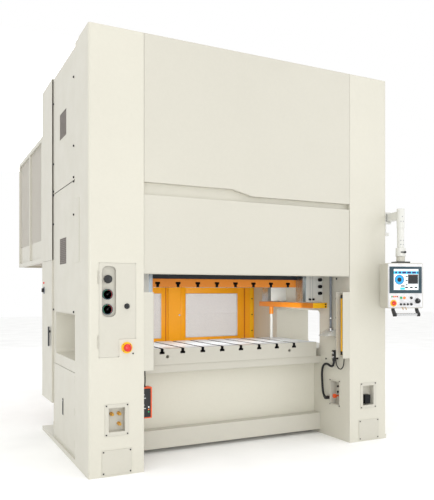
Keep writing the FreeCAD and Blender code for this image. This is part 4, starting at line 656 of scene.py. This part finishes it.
# ---------------- rear guard
def guard_doors():
    """Framed doors behind the die space: folded stiles and rails, gasket and woven pane."""
    for side in (-1, 1):
        name = SIDES[side]
        low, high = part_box(f"{name}_guard_door")
        inner, outer = sorted((abs(low.x), abs(high.x)))
        pane_x = (0.125, 0.802) if side > 0 else (0.177, 0.854)
        pane_z = (0.909, 1.416)
        door = Piece(f"{name}_guard_leaf", f"{name}_guard", "yellow_trim")
        front, back = low.y + 0.004, high.y

        def across(a, b, y, z, finish, soft=0.003):
            x = sorted((side * a, side * b))
            door.block((x[0], y[0], z[0]), (x[1], y[1], z[1]), finish, soft)

        skin = (front, front + 0.012)
        across(inner, pane_x[0], skin, (low.z, high.z), AMBER)
        across(pane_x[1], outer, skin, (low.z, high.z), AMBER)
        across(pane_x[0] - 0.004, pane_x[1] + 0.004, skin, (low.z, pane_z[0]), AMBER)
        across(pane_x[0] - 0.004, pane_x[1] + 0.004, skin, (pane_z[1], high.z), AMBER)
        for a, b in ((inner, inner + 0.014), (outer - 0.014, outer)):
            across(a, b, (front + 0.006, back), (low.z, high.z), AMBER)
        for z in ((low.z, low.z + 0.014), (high.z - 0.014, high.z)):
            across(inner, outer, (front + 0.006, back), z, AMBER)
        # Dark amber strips down the doors at the outer fold and, on the left door, beside the pane: painted
        # shadow of the fold and of the gap there.
        for x_line in ((pane_x[0] - 0.055,) if side < 0 else ()) + (outer - 0.009,):
            across(x_line - 0.006, x_line + 0.006, (front - 0.0006, front + 0.003), (low.z, high.z), FOLD_SHADOW, 0)
        edge = 0.009
        rim = (front - 0.0015, front + 0.016)
        for a, b in ((pane_x[0], pane_x[0] + edge), (pane_x[1] - edge, pane_x[1])):
            across(a, b, rim, pane_z, PANEL_WHITE, 0.0012)
        for z in ((pane_z[0], pane_z[0] + edge), (pane_z[1] - edge, pane_z[1])):
            across(pane_x[0], pane_x[1], rim, z, PANEL_WHITE, 0.0012)
        x = sorted((side * (pane_x[0] + edge), side * (pane_x[1] - edge)))
        door.lattice((x[0], front + 0.006, pane_z[0] + edge), (x[1], front + 0.0074, pane_z[1] - edge),
                     0.011, 0.0034, PANE_WEAVE)
        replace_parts(door.done(), f"{name}_guard_door")
        pane = Piece(f"{name}_guard_pane", f"{name}_guard", "yellow_trim")
        pane.block((x[0], front + 0.010, pane_z[0] + edge), (x[1], front + 0.013, pane_z[1] - edge),
                   CLEAR, 0.0005)
        pane.done()


def guard_trim():
    """Hinge strips with their screws, and the lock, on the posts of the rear guard."""
    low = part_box("rear_guard_frame")[0]
    for side in (-1, 1):
        strip = Piece(f"{SIDES[side]}_hinge_strip", "frame", "yellow_trim")
        x = sorted((side * 0.970, side * 1.014))
        strip.block((x[0], low.y - 0.003, low.z + 0.03), (x[1], low.y, 1.57), YELLOW, 0.001)
        for z in (0.965, 1.159, 1.352, 1.545):
            strip.screw((side * 1.001, low.y - 0.003, z), TO_FRONT, 0.008, 0.004, BLACK_OXIDE)
        strip.done()
    lock = Piece("guard_lock", "frame", "bare_steel")
    lock.turned([(0.011, 0), (0.011, 0.003), (0.008, 0.0036), (0, 0.0036)], (0.046, low.y, 1.169), TO_FRONT,
                BRIGHT, 24)
    lock.done()


# ---------------- beside the die space
def curtain_details():
    """Lens strips and end caps of the light curtain bars."""
    low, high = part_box("light_curtains")
    for side in (-1, 1):
        piece = Piece(f"{SIDES[side]}_curtain_lens", "frame", "black_plastic")
        face = high.x - 0.044
        x = sorted((side * (face - 0.0012), side * (face + 0.0005)))
        piece.block((x[0], low.y + 0.011, low.z + 0.05), (x[1], low.y + 0.019, high.z - 0.05), TEAL, 0.0004)
        for z in (low.z + 0.02, high.z - 0.02):
            x = sorted((side * (face - 0.003), side * (face + 0.02)))
            piece.block((x[0], low.y - 0.002, z - 0.018), (x[1], high.y + 0.002, z + 0.018), BLACK, 0.003)
        piece.done()


def conduit():
    """Flexible corrugated conduit with its screwed gland and saddle clips."""
    x, y = 1.010, -0.563
    low, high = 1.079, 1.640
    pipe = Piece("flexible_conduit", "frame", "motor_grey")
    pitch, valley, crest = 0.009, 0.0108, 0.0125
    count = int((high - low) / pitch)
    profile = []
    for i in range(count):
        z = low + i * pitch
        profile += [(valley, z), (crest, z + pitch * 0.25), (crest, z + pitch * 0.6),
                    (valley, z + pitch * 0.85)]
    profile.append((valley, high))
    pipe.turned(profile, (x, y, 0), UP, GREY, 18)
    pipe.turned([(0.0105, 0), (0.0105, 0.012), (0.018, 0.012), (0.018, 0.030), (0.015, 0.034), (0.015, 0.052),
                 (0.0175, 0.054), (0.0175, 0.066), (0.0125, 0.070)], (x, y, 1.009), UP, BRIGHT, 24)
    pipe.turned([(0.0180, 0.016), (0.0180, 0.027)], (x, y, 1.009), UP, BRIGHT, 6)
    for z in (1.170, 1.601):
        pipe.block((x - 0.003, y - 0.017, z), (INNER_WALL, y + 0.017, z + 0.012), BRIGHT, 0.002)
        pipe.turned([(0.0145, 0), (0.0145, 0.012), (0.0128, 0.012), (0.0128, 0)], (x, y, z), UP,
                    BRIGHT, 24)
    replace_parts(pipe.done(), "conduit_pipe")


def boxes():
    """Terminal block, cable inlet and the drive unit on the left column."""
    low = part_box("junction_boxes")[0]
    unit = Piece("terminal_units", "frame", "black_plastic")
    left, right = low.x, low.x + 0.107
    front, back = -0.732, -0.642
    unit.block((left, front + 0.003, 0.402), (right, back, 0.656), ORANGE_PLASTIC, 0.004)
    unit.block((left + 0.004, front, 0.412), (right - 0.012, front + 0.006, 0.646), BLACK, 0.002)
    for i in range(7):
        z = 0.625 - 0.028 * i
        length = 0.012 * (1 + i % 3)
        unit.block((left + 0.016, front - 0.0006, z - 0.003), (left + 0.016 + length, front, z + 0.003),
                   PANEL_WHITE, 0)
    for i in range(3):
        unit.block((right - 0.036, front - 0.001, 0.45 + i * 0.02), (right - 0.026, front, 0.46 + i * 0.02),
                   (LAMP_GREEN, LAMP_AMBER, LAMP_CLEAR)[i], 0)
    unit.block((0.9815, -0.660, 0.777), (INNER_WALL, -0.617, 0.866), BLACK, 0.004)
    for z in (0.800, 0.842):
        unit.turned([(0.013, 0), (0.013, 0.006), (0.009, 0.009), (0, 0.009)], (0.9815, -0.6385, z),
                    (-1, 0, 0), BRIGHT, 20)
    unit.block((0.9805, -0.523, 0.370), (INNER_WALL, -0.493, 0.400), BLACK, 0.004)
    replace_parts(unit.done(), "junction_boxes")


def cable_ends():
    """Tapered strain reliefs where the cables enter their blocks and the curtains."""
    ends = Piece("cable_glands", "frame", "black_plastic")
    for route, radius in ((CABLE_ROUTE, CABLE_RADIUS), (WIRE_ROUTE, WIRE_RADIUS), (LEFT_ROUTE, WIRE_RADIUS)):
        profile = [(radius * 1.5, 0.0), (radius * 1.5, radius * 0.8), (radius * 1.3, radius),
                   (radius * 1.08, radius * 2.6), (radius * 0.9, radius * 2.6)]
        for spot, ahead in ((route[0], route[1]), (route[-1], route[-2])):
            ends.turned(profile, spot, Vector(ahead) - Vector(spot), BLACK, 20)
    ends.done()


INNER_SCREWS = [(-0.632, 1.564), (-0.630, 1.371), (-0.630, 1.182), (-0.630, 0.989), (-0.462, 0.765)]


def wall_screws():
    """Screw heads on the inner face of the right column, and the joint lines of the guide blocks."""
    heads = Piece("inner_wall_screws", "frame", "black_steel")
    for y, z in INNER_SCREWS:
        heads.screw((INNER_WALL, y, z), (-1, 0, 0), 0.009, 0.005, BLACK_OXIDE)
    for y in (-0.678, -0.531):
        for z in (0.323, 0.563):
            heads.screw((INNER_WALL - 0.003, y, z), (-1, 0, 0), 0.0055, 0.004, BLACK_OXIDE)
    for z in (1.287, 1.311):
        heads.screw((1.012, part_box("side_rail")[0].y, z), TO_FRONT, 0.008, 0.004, BLACK_OXIDE)
    heads.done()
    grooves = Piece("gib_block_joints", "frame", "bare_steel")
    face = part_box("gib_blocks")[0].y
    for side in (-1, 1):
        for x in (0.878, 0.910):
            a, b = sorted((side * (x - 0.0015), side * (x + 0.0015)))
            grooves.block((a, face - 0.0005, 1.337), (b, face + 0.001, 2.178), GREY, 0)
    grooves.done()


# ---------------- controls on the left column
def gauges():
    """Gauge dials with graduations and pointers, seen through the slot of the door."""
    x = -1.3265
    face = -0.8246
    dials = Piece("gauge_dials", "frame", "gauge_metal")
    for z, reading in ((1.418, 40.0), (1.301, 52.0)):
        dials.turned([(0.0415, 0.0), (0.0415, 0.0040), (0.0385, 0.0046), (0.0360, 0.0040), (0.0355, 0.0008)],
                     (x, face, z), TO_FRONT, TEAL, 40)
        dials.turned([(0.0358, 0.0), (0.0358, 0.0008), (0, 0.0008)], (x, face, z), TO_FRONT, DIAL_FACE, 40)
        for i in range(21):
            angle = math.radians(225 - 13.5 * i)
            long_mark = i % 5 == 0
            outer, inner = 0.0325, 0.0265 if long_mark else 0.0295
            mark_bar(dials, x, face - 0.0008, z, angle, inner, outer, 0.0012 if long_mark else 0.0007, BLACK)
        # The green and red zones are print drawn in the lamp finishes: their faint glow there is painted
        # light.
        for start, end, finish in ((225, 90, LAMP_GREEN), (90, -45, LAMP_RED)):
            for k in range(10):
                angle = math.radians(start + (end - start) * (k + 0.5) / 10)
                mark_bar(dials, x, face - 0.0008, z, angle, 0.0330, 0.0345, 0.0078, finish)
        mark_bar(dials, x, face - 0.0016, z, math.radians(reading), -0.009, 0.0265, 0.0022, BLACK)
        dials.turned([(0.005, 0.0012), (0.005, 0.003), (0.003, 0.0036), (0, 0.0036)], (x, face, z), TO_FRONT,
                     BLACK, 20)
    dials.done()


def mark_bar(piece, x, y, z, angle, inner, outer, width, finish):
    """A thin printed bar on a dial that faces the front, pointing away from its centre."""
    along = Vector((math.cos(angle), 0, math.sin(angle)))
    across = Vector((-along.z, 0, along.x)) * width / 2
    centre = Vector((x, y, z))
    corners = []
    for depth in (0, -0.0004):
        for reach, way in ((inner, -1), (outer, -1), (outer, 1), (inner, 1)):
            corners.append(centre + along * reach + across * way + Vector((0, depth, 0)))
    piece.take(corners, BOX_FACES, finish)


def column_controls():
    """Ribbed regulator knob, key lock, mushroom stop and the door's hinges."""
    knob = Piece("ribbed_regulator_knob", "regulator", "black_plastic")
    low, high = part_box("regulator_knob")
    centre = (low + high) / 2
    foot = Vector((centre.x, high.y, centre.z))
    knob.turned([(0.0165, 0), (0.0165, 0.018), (0.030, 0.020), (0.031, 0.022), (0.031, 0.043), (0.028, 0.047),
                 (0.012, 0.047), (0.010, 0.0462), (0, 0.0462)], foot, TO_FRONT, BLACK, 48)
    ribs = 28
    for i in range(ribs):
        angle = 2 * math.pi * i / ribs
        rim = Vector((0.0312 * math.cos(angle), 0, 0.0312 * math.sin(angle)))
        knob.turned([(0.0018, 0.022), (0.0018, 0.0425), (0.0008, 0.0440)], foot + rim, TO_FRONT, BLACK, 8)
    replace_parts(knob.done(), "regulator_knob")

    low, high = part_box("key_switch")
    centre = (low + high) / 2
    key = Piece("key_lock", "lock", "black_plastic")
    spot = (centre.x, high.y, centre.z)
    key.turned([(0.022, 0), (0.022, 0.005), (0.020, 0.008), (0.0145, 0.0085), (0.0140, 0.020),
                (0.0125, 0.0218), (0.009, 0.0218)], spot, TO_FRONT, BLACK, 36)
    key.turned([(0.009, 0.0212), (0, 0.0212)], spot, TO_FRONT, BRIGHT, 28)
    key.block((centre.x - 0.001, high.y - 0.0218, centre.z - 0.0055),
              (centre.x + 0.001, high.y - 0.0210, centre.z + 0.0055), SLOT_DARK, 0)
    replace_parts(key.done(), "key_switch")

    low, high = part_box("stop_plate")
    centre = (low + high) / 2
    ring = Piece("stop_legend_ring", "frame", "yellow_trim")
    for i in range(4):
        angle = math.radians(45 + 90 * i)
        mark_bar(ring, centre.x, low.y, centre.z, angle, 0.036, 0.040, 0.013, BLACK)
    ring.screw((-1.1215, FRONT, 0.950), TO_FRONT, 0.0065, 0.004, BLACK_OXIDE)
    ring.done()
    stop = Piece("mushroom_stop", "stop", "red_plastic")
    stop.turned([(0.0110, -0.014), (0.0110, 0.010), (0.0290, 0.011), (0.0310, 0.014), (0.0310, 0.022),
                 (0.0295, 0.029), (0.0250, 0.035), (0.0170, 0.0385), (0, 0.0400)],
                (centre.x, low.y, centre.z), TO_FRONT, RED, 40)
    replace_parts(stop.done(), "stop_button")

    hinges = Piece("control_door_hinges", "frame", "cream_paint")
    door_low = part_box("control_door")[0]
    for bottom in (1.000, 1.500):
        for i in range(4):
            z = bottom + i * 0.026
            hinges.turned([(0.0042, 0), (0.0048, 0.001), (0.0048, 0.023), (0.0042, 0.024)],
                          (door_low.x - 0.0075, FRONT - 0.0035, z), UP, CREAM, 16)
    hinges.done()


def door_furniture():
    """Hinge knuckles of the four service doors, and the recessed pulls of the two rear ones."""
    for side in (-1, 1):
        for leaf, hinge_y, pull_y in (("front", -0.3415, 0.030), ("rear", 0.5225, 0.112)):
            name = f"{SIDES[side]}_{leaf}"
            face = 1.4645
            piece = Piece(f"{name}_door_fittings", f"{name}_leaf", "black_plastic")
            for z in (0.13, 0.40, 0.67):
                for k in (0, 1):
                    piece.turned([(0.0055, 0), (0.006, 0.001), (0.006, 0.027), (0.0055, 0.028)],
                                 (side * face, hinge_y, z + 0.03 * k), UP, CREAM_SIDE_PAINTED_LIGHT, 16)
            if leaf == "rear":
                x = sorted((side * (face - 0.001), side * (face + 0.0035)))
                piece.block((x[0], pull_y, 0.32), (x[1], pull_y + 0.036, 0.47), BLACK, 0.004)
                x = sorted((side * (face + 0.0030), side * (face + 0.0040)))
                piece.block((x[0], pull_y + 0.008, 0.335), (x[1], pull_y + 0.028, 0.43), SLOT_DARK, 0.0004)
                piece.screw((side * (face + 0.0035), pull_y + 0.018, 0.452), (side, 0, 0),
                            0.006, 0.002, BRIGHT)
            piece.done()


def cabinet_furniture():
    """Rotary switch plate, its pointer and the pilot lamp over it."""
    low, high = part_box("cabinet_switch")
    centre = (low + high) / 2
    plate = Piece("switch_plate", "cabinet_leaf", "cream_paint")
    face = high.x
    plate.block((face - 0.003, centre.y - 0.036, centre.z - 0.036),
                (face + 0.0005, centre.y + 0.036, centre.z + 0.036), GREY, 0.002)
    plate.turned([(0.010, 0), (0.010, 0.006), (0.007, 0.011), (0, 0.012)], (face, centre.y, centre.z + 0.075),
                 (-1, 0, 0), LAMP_RED, 24)
    plate.done()
    knob = Piece("switch_grip", "cabinet_knob", "black_plastic")
    knob.turned([(0.024, 0), (0.024, 0.008), (0.021, 0.012), (0.017, 0.013), (0, 0.013)],
                (face, centre.y, centre.z), (-1, 0, 0), BLACK, 36)
    knob.block((low.x, centre.y - 0.006, centre.z - 0.020),
               (face - 0.010, centre.y + 0.006, centre.z + 0.020), BLACK, 0.002)
    knob.block((low.x - 0.0004, centre.y - 0.0015, centre.z + 0.004),
               (low.x, centre.y + 0.0015, centre.z + 0.019), PANEL_WHITE, 0)
    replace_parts(knob.done(), "cabinet_switch")


# ---------------- operator pendant
PENDANT_SPOT = (1.4745, -1.035, 0)
PENDANT_PLACE = Matrix.Translation(PENDANT_SPOT) @ Matrix.Rotation(math.radians(-17.7), 4, "Z")
CASE_HALF, CASE_BOTTOM, CASE_TOP, PANEL_FACE = 0.1775, 1.282, 1.707, -0.103


def on_case(share_x, share_z):
    """A place on the case's front, by its shares across from the left and down from the top."""
    return (2 * share_x - 1) * CASE_HALF, CASE_TOP - share_z * (CASE_TOP - CASE_BOTTOM)


def pendant_face():
    """Front plate, dark display surround and the row of lamps."""
    face = Piece("pendant_face", "pendant", "teal_panel", PENDANT_PLACE)
    face.block((-0.170, PANEL_FACE, 1.289), (0.170, PANEL_FACE + 0.008, 1.700), PANEL_WHITE, 0.003)
    left, top = on_case(0.045, 0.080)
    right, bottom = on_case(0.955, 0.667)
    face.block((left, PANEL_FACE - 0.003, bottom), (right, PANEL_FACE, top), TEAL, 0.0025)
    for i, finish in enumerate((LAMP_CLEAR, LAMP_GREEN, LAMP_RED, LAMP_AMBER, LAMP_DARK)):
        x, z = on_case(0.070 + 0.050 * i, 0.742)
        face.block((x - 0.0065, PANEL_FACE - 0.003, z - 0.0065), (x + 0.0065, PANEL_FACE, z + 0.0065),
                   finish, 0.0012)
    for share_x, share_z, radius in ((0.660, 0.769, 0.0125), (0.367, 0.910, 0.0105), (0.462, 0.910, 0.0105),
                                     (0.560, 0.910, 0.0105), (0.660, 0.910, 0.0125)):
        x, z = on_case(share_x, share_z)
        face.turned([(radius, 0), (radius, 0.004), (radius * 0.82, 0.005), (radius * 0.78, 0.014),
                     (radius * 0.66, 0.016), (0, 0.016)], (x, PANEL_FACE, z), TO_FRONT, BLACK, 28)
        face.block((x - 0.0012, PANEL_FACE - 0.0166, z), (x + 0.0012, PANEL_FACE - 0.0160, z + radius * 0.6),
                   PANEL_WHITE, 0)
    x, z = on_case(0.467, 0.769)
    face.turned([(0.013, 0), (0.013, 0.003), (0.0105, 0.004), (0.0105, 0.008), (0.008, 0.0095), (0, 0.010)],
                (x, PANEL_FACE, z), TO_FRONT, LAMP_AMBER, 28)
    for share_x in (0.407, 0.493):
        x, z = on_case(share_x, 0.985)
        face.tube([(x, PANEL_FACE + 0.004, z), (x, PANEL_FACE - 0.012, z - 0.004),
                   (x, PANEL_FACE - 0.020, z - 0.018)], 0.0042, BRASS, 12)
    ring_marks(face)
    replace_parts(face.done(), "pendant_panel")


def ring_marks(face):
    """Yellow legend behind the stop and the graduations round the large dial."""
    stop = in_case("pendant_stop")
    face.turned([(0.032, 0), (0.032, 0.0014), (0.030, 0.002), (0, 0.002)], stop, TO_FRONT, STOP_YELLOW, 40)
    dial = in_case("pendant_dial")
    for i in range(11):
        angle = math.radians(230 - 28 * i)
        mark_bar(face, dial.x, PANEL_FACE, dial.z, angle, 0.0285, 0.0335, 0.0014, BLACK)


def in_case(node):
    """The point of the panel's face that a pendant node is centred on, square to the case."""
    low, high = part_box(node)
    spot = PENDANT_PLACE.inverted() @ ((low + high) / 2)
    return Vector((spot.x, PANEL_FACE, spot.z))


def pendant_display():
    """The lit display with generic fields of colour."""
    left, top = on_case(0.167, 0.135)
    right, bottom = on_case(0.856, 0.595)
    width, height = right - left, top - bottom
    glass = PANEL_FACE - 0.003
    screen = Piece("pendant_display", "pendant", "teal_panel", PENDANT_PLACE)
    screen.block((left, glass - 0.0006, bottom), (right, glass, top), SCREEN, 0)

    def field(x0, z0, x1, z1, finish, level=1):
        rise = glass - 0.0006 - 0.0003 * level
        screen.block((left + x0 * width, rise, top - z1 * height),
                     (left + x1 * width, rise + 0.0003, top - z0 * height), finish, 0)

    field(0.0, 0.10, 1.0, 0.235, SCREEN_CYAN)
    for start, end in ((0.05, 0.13), (0.19, 0.30), (0.34, 0.50), (0.54, 0.70), (0.74, 0.90), (0.94, 0.99)):
        field(start, 0.115, end, 0.215, SCREEN_NAVY, 2)
    field(0.574, 0.255, 0.984, 0.706, SCREEN_DARK)
    field(0.574, 0.255, 0.984, 0.325, SCREEN_BROWN, 2)
    for z in (0.33, 0.53, 0.73):
        field(0.475, z, 0.560, z + 0.05, SCREEN_DARK)
    field(0.258, 0.88, 0.45, 0.985, SCREEN_CYAN)
    field(0.28, 0.78, 0.44, 0.84, SCREEN_DARK)
    for x in (0.516, 0.71, 0.90):
        field(x - 0.055, 0.845, x + 0.055, 0.915, SCREEN_DARK)
    x, z = left + 0.226 * width, top - 0.51 * height
    discs = ((0.0465, SCREEN_BROWN, 1), (0.0415, SCREEN_BLUE, 2), (0.0210, SCREEN_DARK, 3))
    for radius, finish, level in discs:
        rise = 0.0003 * level
        screen.turned([(radius, 0), (radius, rise), (0, rise)], (x, glass - 0.0006, z), TO_FRONT, finish, 48)
    screen.done()


def pendant_controls():
    """Mushroom stop, start button and large dial, each on its own body."""
    spot = in_case("pendant_stop")
    stop = Piece("pendant_mushroom", "hand_stop", "red_plastic", PENDANT_PLACE)
    stop.turned([(0.007, -0.010), (0.007, 0.006), (0.019, 0.0068), (0.020, 0.009), (0.020, 0.015),
                 (0.018, 0.020), (0.012, 0.0235), (0, 0.024)], spot, TO_FRONT, RED, 36)
    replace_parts(stop.done(), "pendant_stop")
    spot = in_case("start_button")
    start = Piece("green_start", "start", "black_plastic", PENDANT_PLACE)
    start.turned([(0.007, -0.010), (0.007, 0.006), (0.0105, 0.0062), (0.011, 0.007), (0.011, 0.0105),
                  (0.009, 0.012), (0, 0.012)], spot, TO_FRONT, LAMP_GREEN, 32)
    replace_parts(start.done(), "start_button")
    low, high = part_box("pendant_dial")
    spot = in_case("pendant_dial")
    radius = (high.z - low.z) / 2
    dial = Piece("large_dial", "dial", "black_plastic", PENDANT_PLACE)
    dial.turned([(radius, 0), (radius, 0.004), (radius * 0.94, 0.006), (radius * 0.80, 0.007),
                 (radius * 0.76, 0.024), (radius * 0.68, 0.026), (0, 0.026)], spot, TO_FRONT, BLACK, 44)
    for i in range(24):
        angle = 2 * math.pi * i / 24
        rim = Vector((radius * 0.77 * math.cos(angle), 0, radius * 0.77 * math.sin(angle)))
        dial.turned([(0.0012, 0.008), (0.0012, 0.0235), (0.0005, 0.0245)], spot + rim, TO_FRONT, BLACK, 8)
    dial.block((spot.x - 0.0014, PANEL_FACE - 0.0265, spot.z + radius * 0.15),
               (spot.x + 0.0014, PANEL_FACE - 0.0258, spot.z + radius * 0.62), PANEL_WHITE, 0)
    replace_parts(dial.done(), "pendant_dial")


def pendant_grip():
    """Bright grip bar between two cranked black brackets."""
    grip = Piece("pendant_grip", "pendant", "bare_steel", PENDANT_PLACE)
    y, z = -0.125, CASE_BOTTOM - 0.058
    grip.turned([(0.0115, 0), (0.013, 0.0015), (0.013, 0.2025), (0.0115, 0.204)], (-0.102, y, z),
                (1, 0, 0), BRIGHT, 32)
    for side in (-1, 1):
        x = side * 0.118
        grip.turned([(0.012, 0), (0.0165, 0.001), (0.0165, 0.026), (0.012, 0.029)],
                    (x - side * 0.016, y, z), (side, 0, 0), BLACK, 28)
        grip.prism([(y - 0.013, z - 0.016), (y + 0.013, z - 0.018), (y + 0.052, CASE_BOTTOM - 0.018),
                    (y + 0.052, CASE_BOTTOM), (y + 0.024, CASE_BOTTOM), (y + 0.020, CASE_BOTTOM - 0.014),
                    (y - 0.014, z + 0.010)], "x", x - 0.012, x + 0.012, BLACK, 0.003)
    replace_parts(grip.done(), "pendant_handle")


def arm_details():
    """Screws and a white ring on the arm, and the clamp lever over the case."""
    arm = Piece("arm_screws", "arm", "black_steel", PENDANT_PLACE)
    radius = 0.0325
    for z, spread in ((2.150, 0.0), (2.105, 0.012), (1.925, 0.012), (1.885, 0.012)):
        for way in ((0,) if not spread else (-1, 1)):
            x = way * spread
            y = -math.sqrt((radius + 0.004 if z > 2.04 else radius) ** 2 - x * x)
            arm.turned([(0.0045, -0.002), (0.0045, 0.001), (0.003, 0.0018), (0, 0.0018)], (x, y, z),
                       TO_FRONT, GREY, 16)
    arm.turned([(0.0470, 0), (0.0470, 0.004), (0.0462, 0.006)], (0, 0, 1.776), UP, WHITE, 40)
    arm.tube([(-0.018, -0.0465, 1.812), (0.020, -0.0500, 1.812)], 0.0055, BLACK, 14)
    arm.turned([(0.009, 0), (0.011, 0.003), (0.011, 0.010), (0.008, 0.013), (0, 0.013)],
               (0.022, -0.0430, 1.812), TO_FRONT, BLACK, 24)
    arm.done()


def pendant():
    pendant_face()
    pendant_display()
    pendant_controls()
    pendant_grip()
    arm_details()


camera()
cables()
studio()
frame_finishes()
drive_finishes()
table_finishes()
control_finishes()
cage_panels()
grille_meshes()
guard_doors()
guard_trim()
curtain_details()
conduit()
boxes()
cable_ends()
wall_screws()
gauges()
column_controls()
door_furniture()
cabinet_furniture()
pendant()
